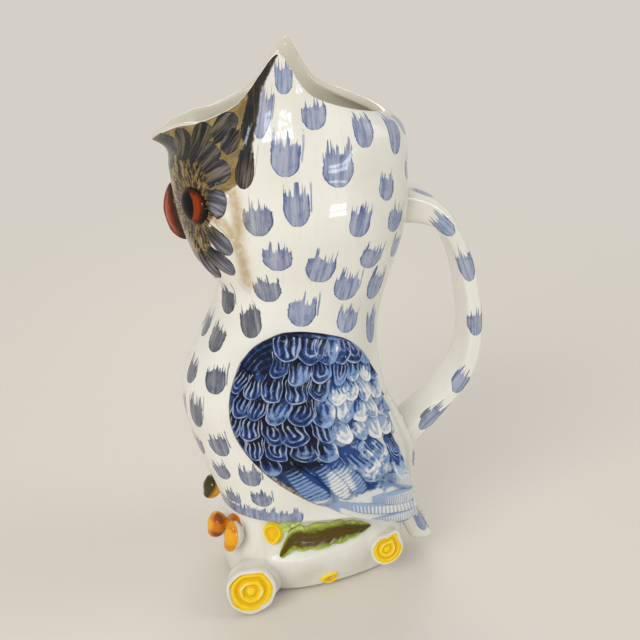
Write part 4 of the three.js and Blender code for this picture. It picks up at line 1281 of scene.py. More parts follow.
for name, side in (("left", 1), ("right", -1)):
    down, across = np.meshgrid(np.linspace(1, 0, 190), np.linspace(0, 1, 170), indexing="ij")
    angle_deg = mix(wing_front_edge(down), wing_back_edge(down), across)
    height = wing_height(angle_deg, down)
    room = wing_room(angle_deg, height)
    along_edge = (height - 0.9 * angle_deg * flat_per_degree) / 1.9
    strip = (
        ease(down, 0.64, 0.7) * (1 - ease(down, 0.84, 0.88)) * (1 - ease(room, 2.2, 3.2))
        * (across < 0.3)
    )
    ribs = strip * wave(along_edge, 1.0)
    proud = bed_proud(angle_deg, height, room) + 0.35 * ribs
    border = np.zeros(down.shape, bool)
    border[0], border[-1], border[:, 0], border[:, -1] = (True,) * 4
    points = on_surface(wing_ground, np.radians(angle_deg) * side, height, proud)
    under = on_surface(
        jug_point, np.radians(angle_deg) * side, np.maximum(height, hem_height + 1),
        0 * room - wing_sink,
    )
    points = np.where(border[..., None], under, points)
    faces = grid_quads(*points.shape[:2], False)
    bed = add_piece(
        f"wing_bed_{name}", points, (faces[:, ::-1] if side < 0 else faces).tolist(),
        wing_bed_glaze,
    )
    brushed = ease(height, 111, 117) * (1 - ease(angle_deg, 78, 87))
    brushing = 0.24 + 0.26 * np.sin(2.3 * room + 0.8 * np.sin(angle_deg / 5))
    brushing = brushing + 0.14 * np.sin(5.1 * room + height / 3)
    margin = 0.4 * ease(room, 0.4, 1.2) * (1 - ease(room, 2.5, 4.5)) * ease(height, 100, 116)
    margin = margin * (0.35 + 0.65 * ease(angle_deg, 76, 96))
    back = (
        0.4 * ease(angle_deg, 112, 132)
        + 0.7 * ease(angle_deg, 92, 100) * (1 - ease(height, 54, 60))
    )
    ridge = np.maximum(np.maximum(brushed * brushing, margin), np.maximum(back, ribs))
    add_value(bed, "ridge", ridge)
    add_value(bed, "cobalt", wing_cobalt(angle_deg, height))
    bare = np.maximum(
        ease(angle_deg, 108, 128), ease(angle_deg, 93, 100) * (1 - ease(height, 54, 62))
    )
    add_value(bed, "pool_and_shade", 0.5 - 0.75 * bare - 0.2 * brushed - margin)
    add_value(bed, "brown", strip * 0.8)
    pieces = [bed]
    for seed, (kind, sheet, plan, unsteady, paler) in enumerate(wing_layers):
        feather_glaze = wing_rib_glaze if kind in ("foot", "quills") else wing_scale_glaze
        layer = laid_feathers(f"wing_{kind}_{name}", sheet, plan, seed, feather_glaze)
        add_value(layer, "brown", np.zeros(len(layer.data.vertices)))
        wrap_on_wing(layer, side, unsteady, paler)
        pieces.append(layer)
    for piece in pieces:
        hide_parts(f"wing_{name}")
        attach(piece, "root")
for sheet in (*scale_sheets.values(), shell_sheet, quill_sheet, foot_sheet):
    bpy.data.objects.remove(sheet)


# Tail. A flat slab of long feathers runs down the back and hangs past the log. It is pressed
# with the body, and the grooves between its feathers are tooled in. Blue dabs cross its tips.
tail_top_height = 96.0
tail_bottom_height = 12.0
tail_half_width = 19.0
tail_tip_half_width = 15.0
tail_tip_reach = 74.0
tail_reach = 62.5
rump_reach = 47.5
tail_tip_thickness = 13.0
tail_corner = 0.45
tail_feathers = 5
tail_groove_depth = 1.3
tail_quill_rise = 0.3
tail_barb_depth = 0.15
tail_barb_pitch = 2.8
tail_tip_round = 3.4
tail_sink = 1.6
log_girth_height = 22.0
tail_reach_of = smooth_curve(
    [
        (12, tail_tip_reach), (mix(12, 43, 0.6), mix(tail_tip_reach, tail_reach, 0.75)),
        (43, tail_reach), (60, tail_reach), (96, rump_reach),
    ]
)


def sunk_in_jug(points, sink):
    """Brings places inside the jug's back up to just under its outer face."""
    height = np.clip(points[..., 2], hem_height, brow_height)
    straight = turned(points, height, -1)
    across = np.clip(np.abs(straight[..., 0]) / side_of(height), 0, 1) ** (1 / square_of(height))
    back = np.sqrt(1 - across ** 2) ** square_of(height)
    face = (
        (back_of(height) - front_of(height)) / 2 + (back_of(height) + front_of(height)) / 2 * back
    )
    held = points[..., 2] > hem_height + 1
    straight[..., 1] = np.where(held, np.maximum(straight[..., 1], face - sink), straight[..., 1])
    return turned(straight, height)


def tail_point(turn, height):
    """Surface of the slab by the turn round its section, from 0 at its left edge, and height."""
    outer_face = tail_reach_of(height)
    sunk = ease(height, log_girth_height, hem_height)
    inner_face = outer_face - tail_tip_thickness
    inner_face = mix(inner_face, np.minimum(inner_face, rump_reach), sunk)
    share = (height - tail_bottom_height) / (tail_top_height - tail_bottom_height)
    half = mix(tail_tip_half_width, tail_half_width, share)
    middle = (outer_face + inner_face) / 2
    y = middle + (outer_face - inner_face) / 2 * power(np.sin(turn), tail_corner)
    return stacked(half * power(np.cos(turn), tail_corner), y, height)


def round_turns(count):
    """Even turns once round a section."""
    return np.linspace(0, 2 * pi, count, endpoint=False)


tail_heights = np.linspace(tail_bottom_height, tail_top_height, 120)
turn_grid, height_grid = np.meshgrid(round_turns(160), tail_heights)
tail_rings = tail_point(turn_grid, height_grid)
feather_place = (tail_rings[..., 0] / tail_half_width + 1) / 2 * tail_feathers
in_feather = feather_place - np.floor(feather_place) - 0.5
on_back = ease(np.sin(turn_grid), 0.25, 0.6)
groove = -tail_groove_depth * hump(0.5 - np.abs(in_feather), 0.08)
quill_line = tail_quill_rise * hump(in_feather, 0.05)
barbs = 2 * tail_barb_depth * wave(height_grid - 5 * np.abs(in_feather), tail_barb_pitch) - 0.35
tail_rings[..., 1] += on_back * (groove + quill_line + barbs)
tip_curve = tail_tip_round * (2 * in_feather) ** 2 * (1 - ease(height_grid, 12, 17))
tail_rings[..., 2] += tip_curve * on_back
rounded = np.clip((height_grid[:, :1] - tail_bottom_height) / 1.8, 0, 1)
shrink = (0.86 + 0.14 * np.sqrt(1 - (1 - rounded) ** 2))[..., None]
middles = tail_rings.mean(1, keepdims=True)
tail_rings[..., :2] = mix(middles, tail_rings, shrink)[..., :2]
tail_rings = sunk_in_jug(tail_rings, tail_sink)
tail_dabs = [
    (16, 17, 20, 31, 2.8, 0.0), (164, 17, 160, 31, 2.8, 0.0),
    (60, 16, 60, 28, 2.4, 0.0), (90, 15, 90, 27, 2.6, 0.0), (120, 16, 120, 28, 2.4, 0.0),
    (75, 35, 75, 47, 2.6, 0.0), (105, 35, 105, 47, 2.6, 0.0), (50, 54, 50, 66, 2.6, 0.0),
    (90, 55, 90, 67, 2.8, 0.0), (130, 54, 130, 66, 2.6, 0.0),
]


def dabbed_material(name):
    glaze = Glaze(name)
    ground, lines = cream_ground(glaze)
    return glaze.finish(painted_dabs(glaze, ground, "dab", "dab_kind"), lines, sponge_depth)


tail_material = dabbed_material("tail_glaze_with_dabs")
tail = closed_loft("tail_slab", tail_rings, tail_material)
map_strokes(tail, tail_point, tail_dabs, "dab", "dab_kind", 4.0)
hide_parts("tail")
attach(tail, "root")


# Handle. A strap of clay bows out from the back of the head to the rump. It is pulled, so its
# edges are soft, and it swells where it is luted on. Dabs run up both its sides and its face.
handle_width = 27.0
handle_thickness = 8.0
handle_root_thickness = 17.0
handle_corner = 0.38
handle_top_height = 185.0
handle_bow_height = 124.0
handle_bow_reach = 90.4
handle_bottom_height = 76.0
handle_root_reach = 43.0
handle_sink = 2.0
lower_path_shares = [
    (0.1, 1.42), (0.3, 1.18), (0.46, 1.02), (0.72, 0.745), (0.87, 0.55), (0.96, 0.36), (1, 0.15),
]
upper_path_shares = [
    (1, 0.04), (0.96, 0.28), (0.87, 0.57), (0.75, 0.77), (0.61, 0.92), (0.44, 1), (0.2, 1.04),
    (0, 1.05),
]
path_out = handle_bow_reach - handle_root_reach
marks = np.array([
    (handle_root_reach + out * path_out, mix(handle_bow_height, end_height, share))
    for end_height, shares in (
        (handle_bottom_height, lower_path_shares), (handle_top_height, upper_path_shares),
    )
    for out, share in shares
])
mark_gaps = np.linalg.norm(np.diff(marks, axis=0), axis=1) ** 0.5
knots = np.append(0, np.cumsum(mark_gaps))
leans = np.gradient(marks, knots, axis=0)
path_knots = np.linspace(0, knots[-1], 160)
segment = np.clip(np.searchsorted(knots, path_knots, "right") - 1, 0, len(marks) - 2)
run = (knots[segment + 1] - knots[segment])[:, None]
t = (path_knots[:, None] - knots[segment][:, None]) / run
path = (
    (2 * t ** 3 - 3 * t ** 2 + 1) * marks[segment]
    + (t ** 3 - 2 * t ** 2 + t) * run * leans[segment]
    + (3 * t ** 2 - 2 * t ** 3) * marks[segment + 1]
    + (t ** 3 - t ** 2) * run * leans[segment + 1]
)
path_lengths = np.append(0, np.cumsum(np.linalg.norm(np.diff(path, axis=0), axis=1)))
path_lengths = path_lengths / path_lengths[-1]


def strap_point(turn, share):
    """Surface of the strap by the turn round its section, from 0 at its left edge, and the
    share of the way up its path."""
    (y, z), (ahead_y, ahead_z), (behind_y, behind_z) = (
        [np.interp(np.clip(share + step, 0, 1), path_lengths, places) for places in path.T]
        for step in (0, 0.01, -0.01)
    )
    run_y, run_z = ahead_y - behind_y, ahead_z - behind_z
    size = np.hypot(run_y, run_z)
    flare = ease(share, 0.74, 0.96) + 0.3 * (1 - ease(share, 0.05, 0.28))
    half = mix(handle_thickness, handle_root_thickness, flare) / 2
    half = half * power(np.sin(turn), handle_corner)
    x = handle_width / 2 * power(np.cos(turn), handle_corner)
    return stacked(x, y + half * run_z / size, z - half * run_y / size)


# The strap itself is made by a node tree, which wraps a grid round the path.
strap = Tool("pull_strap", {
    "Path": "Geometry", "Width": "Float", "Thickness": "Float", "Root thickness": "Float",
    "Corner": "Float", "Sides": "Int", "Rows": "Int", "Glaze": "Material",
})
strap_grid = strap.mark("GeometryNodeMeshGrid", {
    "Size X": 1.0, "Size Y": 1.0, "Vertices X": strap.given["Sides"] + 1.0,
    "Vertices Y": strap.given["Rows"],
})
grid_x, grid_y, _ = strap.parts(strap.mark("GeometryNodeInputPosition"))
share, turn = grid_y + 0.5, (grid_x + 0.5) * (2 * pi)
on_path = strap.node(
    "GeometryNodeSampleCurve", {"Curves": strap.given["Path"], "Factor": share}, mode="FACTOR"
).outputs


def soft_corner(value):
    return strap.math("SIGN", value) * strap.math("POWER", abs(value), strap.given["Corner"])


def vector(operation, *values):
    return strap.mark("ShaderNodeVectorMath", enumerate(values), operation=operation)


flare = strap.step(share, 0.74, 0.96) + strap.step(share, 0.05, 0.28, 0.3, 0.0)
thickness = strap.given["Thickness"]
thickness = thickness + (strap.given["Root thickness"] - thickness) * flare
wide = strap.given["Width"] * 0.5 * soft_corner(strap.math("COSINE", turn))
deep = thickness * 0.5 * soft_corner(strap.math("SINE", turn))
out = vector("CROSS_PRODUCT", Mark(strap, on_path["Tangent"]), (1.0, 0.0, 0.0))
out = vector("MULTIPLY", vector("NORMALIZE", out), strap.joined(deep, deep, deep))
spread = vector("ADD", strap.joined(wide, 0.0, 0.0), out)
wrapped = strap.mark("GeometryNodeSetPosition", {
    "Geometry": strap_grid, "Position": vector("ADD", Mark(strap, on_path["Position"]), spread),
})
strap.end(strap.mark("GeometryNodeMergeByDistance", {"Geometry": wrapped, "Distance": 0.00001}))

handle_material = dabbed_material("handle_glaze_with_dabs")
path_curve = bpy.data.curves.new("handle_strap", "CURVE")
path_curve.dimensions = "3D"
spline = path_curve.splines.new("POLY")
spline.points.add(len(path) - 1)
for point, (y, z) in zip(spline.points, path):
    point.co = (0.0, y * millimetre, z * millimetre, 1.0)
strap_guide = add_object("handle_path", path_curve)
strap_mesh = strap.shape(strap_guide, {
    "Width": handle_width * millimetre, "Thickness": handle_thickness * millimetre,
    "Root thickness": handle_root_thickness * millimetre, "Corner": handle_corner,
    "Sides": 96, "Rows": 220, "Glaze": handle_material,
})
bpy.data.objects.remove(strap_guide)
handle = add_object("handle_strap", strap_mesh)
strap_places = point_places(strap_mesh)
hand_made = 0.25 * np.sin(strap_places[:, 2] / 7.0) + 0.2 * np.sin(strap_places[:, 2] / 3.1 + 1)
strap_places[:, 0] *= 1 + hand_made / handle_width
move_points(strap_mesh, sunk_in_jug(strap_places, handle_sink))
# Dabs in rows: the near side, a small run under its lowest dab, the far side and the outer face.
handle_dabs = [
    (0, 0.775, 0, 0.865, 3.6, 0.0), (0, 0.63, 0, 0.737, 3.7, 0.0), (0, 0.467, 0, 0.553, 3.6, 0.1),
    (0, 0.285, 0, 0.367, 3.6, 0.0), (0, 0.14, 0, 0.245, 3.4, 0.1),
    (-30, 0.165, -28, 0.215, 1.7, 0.6), (172, 0.785, 172, 0.87, 3.6, 0.0),
    (172, 0.62, 172, 0.73, 3.7, 0.0), (172, 0.46, 172, 0.55, 3.6, 0.1),
    (172, 0.29, 172, 0.37, 3.6, 0.0), (172, 0.15, 172, 0.24, 3.4, 0.1),
    (70, 0.87, 74, 0.94, 3.0, 0.0), (88, 0.7, 88, 0.78, 4.0, 0.0), (92, 0.54, 92, 0.61, 4.0, 0.0),
    (88, 0.38, 88, 0.45, 4.0, 0.0), (92, 0.21, 92, 0.28, 4.0, 0.0),
]
map_strokes(handle, strap_point, handle_dabs, "dab", "dab_kind", 4.0)
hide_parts("handle")
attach(handle, "root")


# Face. Each cheek is a raised spray of feathers pressed on beside the beak, the eyes are domes
# set into their inner ends, and the beak is a hooked ridge. The mask is painted over the cheeks,
# the eyes have orange irises and tall black pupils, and the beak is red-brown.
cheek_middle = (40.0, 183.0)
cheek_plate_radius = 25.0
cheek_petal_rise = 2.1
cheek_hidden = 2.0
eye_radius = 7.9
eye_dome = 3.4
eye_seat = 0.5
eyelid_rise = 0.9
eyelid_half_width = 1.1
beak_middle = (0.0, 184.5)
beak_half_length = 13.5
beak_half_width = 7.0
beak_edge = 0.6
beak_depth = 6.0
beak_narrowing = 0.35
beak_tip_narrowing = 0.75
beak_ridge_rise, beak_ridge_half_width = 0.5, 1.1


def laid_points(surface, side, angle_deg, height, across, rising, proud):
    """Places on a surface in lengths across and upwards from a middle point of it."""
    angle, turn = radians(angle_deg), 0.01
    reach = surface(side * (angle + turn), height) - surface(side * (angle - turn), height)
    per_radian = np.linalg.norm(reach) / (2 * turn)
    angles = side * (angle + across / per_radian)
    return on_surface(surface, angles, height + rising, proud)


def laid_piece(name, surface, side, middle, across, rising, proud, material):
    """Piece raised on a surface round a middle given by angle and height, its edge sunk in."""
    proud[0] = -wing_sink
    rings = laid_points(surface, side, *middle, across, rising, proud)
    return closed_loft(name, rings, material, side)


def laid_shares(rings, spokes):
    """Shares of the way in from the outline, with a row under it first, and turns round it."""
    shares = np.append(1.0, np.linspace(1, 0.02, rings))
    return np.meshgrid(shares, round_turns(spokes), indexing="ij")


cheek_glaze = Glaze("mask_glaze", 0.15, 0.7)
cheek_ground, cheek_lines = cream_ground(cheek_glaze)
cheek_color = painted_mask(cheek_glaze, cheek_ground, 0.0)
cheek_material = cheek_glaze.finish(cheek_color, cheek_lines, sponge_depth)

eye_glaze = Glaze("eye_glaze", 0.1, 0.35)
eye_across, eye_up, _ = eye_glaze.parts(eye_glaze.map("round_eye"))
eye_radius_here = eye_glaze.math("SQRT", eye_across * eye_across + eye_up * eye_up)
pupil_x = (eye_across + 1.2) / 4.4
pupil_y = eye_up / 6.6
eye_wobble = eye_glaze.noise(eye_glaze.place(), 500.0)
pupil_place = pupil_x * pupil_x + pupil_y * pupil_y + (eye_wobble - 0.5) * 0.5
iris_cloud = eye_glaze.noise(eye_glaze.joined(eye_across * 0.45, eye_up * 0.13, 0.0))
iris_edge = eye_radius_here + (iris_cloud - 0.5) * 3.0
iris = eye_glaze.fade(iris_edge, 5.4, 7.2, (0.27, 0.036, 0.003, 1), (0.06, 0.009, 0.002, 1))
iris = eye_glaze.fade(eye_radius_here, 7.2, 7.6, iris, (0.008, 0.007, 0.007, 1))
eye_color = eye_glaze.fade(pupil_place, 1.1, 0.9, iris, (0.003, 0.003, 0.004, 1))
eye_material = eye_glaze.finish(eye_color, eye_wobble, 0.00003)

for name, side in (("left", 1), ("right", -1)):
    share, turn = laid_shares(52, 180)
    across, rising = spun(share * cheek_plate_radius, 0, turn)
    base = laid_points(jug_point, side, *cheek_middle, across, rising, 0 * share)
    side_petals = [(side * a, b, side * c, *rest) for a, b, c, *rest in raised_petals]
    lift = np.zeros(share.shape)
    for foot, along_x, along, out, length, half_width in stroke_frames(jug_point, side_petals):
        away = base - foot
        v = away @ along / length
        u = away @ along_x / half_width / (1 - 0.6 * np.clip(v - 0.4, 0, 0.9))
        off = np.hypot(u, np.clip(0.4 - v, 0, None) / 0.42)
        lens = np.sqrt(np.clip(1 - off ** 2, 0, 1)) * (1 - 0.55 * ease(v, 0.5, 1.1))
        crease = -0.25 * hump(u, 0.12) * (off < 1)
        lift = np.maximum(lift, cheek_petal_rise * np.where(v < 1.15, lens, 0) + crease)
    centre, eye_side, eye_upward = eye_frame(side)
    eye_off = np.hypot((base - centre) @ eye_side, (base - centre) @ eye_upward)
    lid = eyelid_rise * hump(eye_off - eye_radius - 0.9, eyelid_half_width)
    raised = np.maximum(lift, lid)
    proud = raised - mix(cheek_hidden, 0.5, ease(raised, 0, 0.3))
    cheek = laid_piece(
        f"cheek_feathers_{name}", jug_point, side, cheek_middle, across, rising, proud,
        cheek_material,
    )
    map_strokes(cheek, skin_point, mask_petals, "petal", "petal_kind", 9.0)
    map_eyes(cheek)
    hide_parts(f"cheek_{name}")
    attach(cheek, "root")

    share, turn = laid_shares(22, 72)
    across, rising = spun(share * eye_radius, 0, turn)
    proud = eye_seat + eye_dome * np.sqrt(1 - share ** 2)
    eye_middle = (eye_angle_deg, eye_height)
    eye = laid_piece(
        f"eye_dome_{name}", jug_point, side, eye_middle, across, rising, proud, eye_material
    )
    map_eyes(eye)
    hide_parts(f"eye_{name}")
    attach(eye, "root")

beak_glaze = Glaze("beak_glaze", 0.1, 1.0)
from_ridge = beak_glaze.attribute("from_ridge")
beak_streaks = beak_glaze.noise(beak_glaze.place(), 260.0, 3.0)
beak_color = beak_glaze.fade(
    beak_streaks, 0.4, 0.62, (0.36, 0.045, 0.006, 1), (0.2, 0.022, 0.004, 1)
)
beak_color = beak_glaze.fade(from_ridge, 0.7, 0.98, beak_color, (0.045, 0.012, 0.005, 1))
beak_material = beak_glaze.finish(beak_color, beak_streaks, 0.00004)
share, turn = laid_shares(30, 96)
rise = np.sin(turn)
narrow = np.where(rise < 0, beak_tip_narrowing, beak_narrowing)
across = share * beak_half_width * np.cos(turn) * (1 - narrow * rise ** 2)
rising = share * beak_half_length * rise
hook = 1 - 0.3 * share * rise
proud = beak_edge + beak_depth * hook * (1 - share ** 2) ** 0.6
ridge = beak_ridge_rise * hump(across, beak_ridge_half_width) * (1 - share ** 2)
proud = proud * (1 - 0.1 * ease(np.abs(across), 0.5, 2.5)) + ridge
proud = np.minimum(proud, beak_edge + beak_depth * 1.02)
beak = laid_piece("beak_ridge", jug_point, 1, beak_middle, across, rising, proud, beak_material)
add_value(beak, "from_ridge", share, 1, 0)
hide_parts("beak")
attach(beak, "root")


# Log. The owl stands on a short log of the same clay, flat underneath, with soft bark relief and
# swellings where its branches were cut. It is left cream, like the body.
log_height = 42.7
log_front = 34.0
log_back = 58.0
log_end_round = 4.0
log_corner = 0.78
log_tail_share = 0.66
log_side_of = smooth_curve([(0, 33), (log_girth_height, 41), (log_height, 37)])
log_foot_round = 1.2
bark_depth = 0.5
branch_lines = [((-25, 13.5), (-24, 44), 10.5, 2.0), ((-25, 13.5), (45, 17.5), 11.0, 1.7)]
branch_hollow = 0.7
front_stub_ahead = 25.0
# Cut branches by side, radius, reach, place along and up the log, the way they point round and
# up, and how far the cut face is drawn out to a corner.
stub_rows = [
    ("front_left", 1, 11.6, 51.0, -25.0, 13.5, 82.0, 8.0, 0.07),
    ("back_left", 1, 8.2, 32.0, 45.0, 18.0, 98.0, 8.0, 0.3),
    ("front_right", -1, 9.0, 42.0, -10.0, 13.5, 90.0, 6.0, 0.1),
    ("back_right", -1, 8.2, 32.0, 45.0, 18.0, 98.0, 8.0, 0.2),
]
collar_rise = 2.4
collar_width_share = 0.55


def log_taper(y):
    return mix(1, log_tail_share, ease(y, -front_stub_ahead / 2, log_back))


def log_point(angle, height, grow=0.0):
    """Surface of the log by angle and height, or of a log that is larger all round."""
    rounding = log_end_round * (height / log_girth_height - 1) ** 2
    front, back = log_front - rounding + grow, log_back - rounding + grow
    y = (back - front) / 2 - (back + front) / 2 * power(np.cos(angle), log_corner)
    x = log_taper(y) * (log_side_of(height) + grow) * power(np.sin(angle), log_corner)
    return stacked(x, y, height)


def log_relief(points, angles):
    """Soft bark: long shallow folds, the round backs of the branches that the cut ends belong
    to, and a swelling at each cut end."""
    x, y, z = points[..., 0], points[..., 1], points[..., 2]
    folds = np.sin(angles * 15 + 0.7 * np.sin(z / 6)) + 0.6 * np.sin(angles * 34 + z / 5 + 2)
    grain = bark_depth * 0.4 * folds * ease(z, 2, 8) * (1 - ease(z, log_height - 6, log_height - 1))
    relief = 0 * z - branch_hollow
    places = stacked(y, z)
    for start, end, radius, rise in branch_lines:
        run = np.subtract(end, start)
        share = np.clip((places - start) @ run / (run @ run), 0, 1)
        away = places - start - share[..., None] * run
        off = np.hypot(away[..., 0], np.maximum(away[..., 1], 0)) / radius
        back = hump(np.clip(off - 0.62, 0, None), 0.24) * (1 - 0.25 * np.clip(off, 0, 1) ** 2)
        relief = np.maximum(relief, mix(-branch_hollow, rise, back))
    relief = relief + grain
    for _, side, radius, _, stub_y, stub_z, *_ in stub_rows:
        off = np.hypot(y - stub_y, z - stub_z) / radius
        near = hump(np.clip(off - 0.8, 0, None), collar_width_share) * (x * side > 0)
        relief = mix(relief, collar_rise, near)
    return relief * ease(z, 0, 3)


log_rows = np.append([0.0, 0.25, 0.7], np.linspace(1.3, log_height, 74))
turn_grid, height_grid = np.meshgrid(round_turns(300), log_rows)
log_rings = log_point(turn_grid, height_grid)
relief = log_relief(log_rings, turn_grid)
inset = log_foot_round * (1 - np.sqrt(1 - (1 - np.clip(height_grid / log_foot_round, 0, 1)) ** 2))
log_rings = log_rings + grid_normals(log_rings) * stacked(1, 1, 0) * (relief - inset)[..., None]
log_glaze = Glaze("log_glaze")
log_color, log_lines = cream_ground(log_glaze)
log_cloud = log_glaze.noise(log_glaze.place(), 60.0, 3.0)
log_color = log_glaze.blend(
    log_glaze.step(log_cloud, 0.5, 0.75, 0.0, 0.2), log_color, (0.62, 0.55, 0.36, 1)
)
log_material = log_glaze.finish(log_color, log_lines, sponge_depth)
log_piece = closed_loft("log_with_bark", log_rings, log_material)
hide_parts("log_base")
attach(log_piece, "root")


# Stubs and knots. Four cut branches stand out of the log, each turned with a cream bark rim
# round a sunk face of growth rings, and two small knots sit on its side. The cut faces are
# painted yellow, which runs off the rings and pools orange between them; the paler raised rings
# are partly painted highlight, and the orange grooves partly painted shade.
knot_rows = [("low_left", (92.5, 6.8), 4.5), ("high_left", (62.5, 35.5), 5.3)]
knot_proud = 3.2
stub_profile = [
    (0, -0.05), (0.08, -0.04), (0.15, -0.07), (0.2, -0.14), (0.26, -0.16), (0.32, -0.1),
    (0.37, -0.02), (0.42, 0.0), (0.47, -0.05), (0.52, -0.15), (0.57, -0.19), (0.62, -0.16),
    (0.68, -0.1), (0.74, -0.07), (0.79, -0.08), (0.83, -0.13), (0.86, -0.1), (0.89, 0.0),
    (0.935, -0.01), (0.97, -0.06), (0.995, -0.14), (1.0, -0.24), (0.985, -0.38), (0.96, -0.55),
    (0.95, -0.75), (0.98, -0.95), (1.06, -1.15), (1.2, -1.38), (1.35, -1.6), (1.4, -2.0),
    (1.4, -2.7),
]

stub_glaze = Glaze("cut_branch_glaze", 0.14, 0.7)
ring_place = stub_glaze.attribute("ring_place")
ring_depth = stub_glaze.attribute("ring_depth")
stub_cream, _ = cream_ground(stub_glaze)
stub_runs = stub_glaze.noise(stub_glaze.place(), 330.0, 3.0, 0.6)
stub_drift = stub_glaze.noise(stub_glaze.place(), 120.0, 2.0)
# Orange in the grooves: pooled yellow and partly painted shade.
yellow = stub_glaze.fade(
    ring_depth + (stub_runs - 0.5) * 0.9, 0.3, 0.85, (0.92, 0.68, 0.015, 1), (0.84, 0.48, 0.01, 1)
)
# Pale yellow on the raised rings: thin glaze and partly painted highlight.
bare = 0.3 - ring_depth + (stub_drift - 0.5) * 1.6
yellow = stub_glaze.blend(stub_glaze.step(bare, 0.2, 0.42, 0.0, 0.8), yellow, (0.92, 0.84, 0.42, 1))
painted_to = ring_place + (stub_drift - 0.5) * 0.4
stub_color = stub_glaze.fade(painted_to, 0.85, 0.9, yellow, stub_cream)
stub_material = stub_glaze.finish(stub_color, stub_runs, 0.00006)

for name, side, radius, reach, y, height, azimuth_deg, tilt_deg, drawn in stub_rows:
    azimuth, tilt = radians(azimuth_deg), radians(tilt_deg)
    axis = np.array([side * sin(azimuth) * cos(tilt), -cos(azimuth) * cos(tilt), sin(tilt)])
    level = np.cross([0, 0, 1], axis)
    level = level / np.linalg.norm(level)
    upright = np.cross(axis, level)
    spin = round_turns(72)[None, :]
    out, deep = (
        np.interp(np.linspace(1, 0, 70), np.linspace(0, 1, len(shares)), shares)[:, None] + 0 * spin
        for shares in zip(*stub_profile)
    )
    uneven = 1 + 0.035 * np.sin(2 * spin + reach) + 0.022 * np.sin(3 * spin + y)
    uneven = uneven + 0.012 * np.sin(7 * spin) + drawn * hump(spin - 1.0, 0.32)
    off_centre = 0.07 * radius * (1 - out) * np.clip(out, 0, 1)
    in_front = 1 - ease(side * np.cos(spin), -0.1, 0.6)
    narrowed = np.minimum(out, 0.98) - 0.6 * ease(-deep, 1.1, 2.7)
    flat = mix(out, narrowed, in_front * (deep < -0.9)) * uneven * radius
    middle = np.array([side * reach, y, height])
    rings = middle + axis * (deep * radius)[..., None]
    rings = rings + level * (np.cos(spin) * flat + off_centre)[..., None]
    rings = rings + upright * (np.sin(spin) * flat)[..., None]
    rings[..., 0] = side * np.minimum(side * rings[..., 0], reach)
    rings[..., 2] = np.maximum(rings[..., 2], 0.3)
    stub = closed_loft(f"cut_branch_{name}", rings, stub_material)
    on_bark = np.where(deep < -0.2, 1.3, out)
    add_value(stub, "ring_place", on_bark, 1.3, 0)
    add_value(stub, "ring_depth", np.clip(-deep * 5, 0, 1), 0, 0.3)
    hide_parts(f"stub_{name}")
    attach(stub, "root")

for name, middle, knot_radius in knot_rows:
    share, turn = laid_shares(26, 56)
    uneven = 1 + 0.07 * np.sin(2 * turn + middle[1]) + 0.04 * np.sin(3 * turn)
    across, rising = spun(share * knot_radius * uneven, 0, turn)
    rim = hump(share - 0.72, 0.16)
    button = 0.5 * hump(share, 0.22)
    proud = knot_proud * (0.45 + 0.55 * rim + 0.35 * button) * np.sqrt(1 - share ** 4)
    knot = laid_piece(f"knot_{name}", log_point, 1, middle, across, rising, proud, stub_material)
    add_value(knot, "ring_place", share * 0.88, 1.3, 0)
    hollow = 0.25 + 0.6 * np.clip(1 - rim - button, 0, 1) * (share < 0.7)
    add_value(knot, "ring_depth", hollow, 0, 0.3)
    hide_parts(f"knot_{name}")
    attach(knot, "root")


# Leaves. A leaf with a small second leaflet lies on each side of the log, pressed from a sprig
# mould, with a midrib, side veins and a nicked edge. The green runs to olive-brown along its
# hollow middle, and the leaflet is painted plain.
leaf_half_length = 32.0
leaf_half_width = 6.4
leaf_bow = 5.2
leaf_thickness = 1.6
leaf_nicks = 9
leaf_nick_depth = 0.16
leaf_vein_pitch = 4.6
leaf_vein_rise = 0.22
leaf_midrib_rise = 0.45
# Middle of the leaf and of the leaflet by angle and height, size, tilt, and how far the colour
# of the leaf's edge covers its middle.
leaf_rows = [
    ("", (93.0, 26.8), 1.0, radians(5), 0.0), ("_lobe", (75, 38.2), 0.42, radians(32), 0.9),
]

leaf_glaze = Glaze("leaf_glaze", 0.14, 0.5)
leaf_u, leaf_v, _ = leaf_glaze.parts(leaf_glaze.map("on_leaf"))
leaf_noise = leaf_glaze.noise(leaf_glaze.joined(leaf_u * 5.0, leaf_v * 2.0, 0.0), 1.0, 4.0, 0.7)
from_rib = abs(leaf_v) + (leaf_noise - 0.5) * 0.9
leaf_color = leaf_glaze.fade(from_rib, 0.42, 0.64, (0.1, 0.062, 0.008, 1), (0.24, 0.31, 0.03, 1))
leaf_color = leaf_glaze.fade(from_rib, 0.6, 0.95, leaf_color, (0.55, 0.63, 0.17, 1))
leaf_streaks = leaf_glaze.noise(leaf_glaze.joined(leaf_u * 14.0, leaf_v * 3.0, 4.0), 1.0, 3.0)
leaf_color = leaf_glaze.blend(
    leaf_glaze.step(leaf_streaks, 0.55, 0.75, 0.0, 0.65), leaf_color, (0.07, 0.13, 0.015, 1)
)
leaf_material = leaf_glaze.finish(leaf_color, leaf_streaks, 0.00008)


def leaf_half_at(place):
    """Half the leaf's width by the place along it, from -1 at its foot to 1 at its tip."""
    sharp = mix(0.9, 1.6, ease(place, -0.5, 0.8))
    return leaf_half_width * (1 - 0.28 * place) * np.clip(1 - place ** 2, 0.001, 1) ** (sharp / 2)


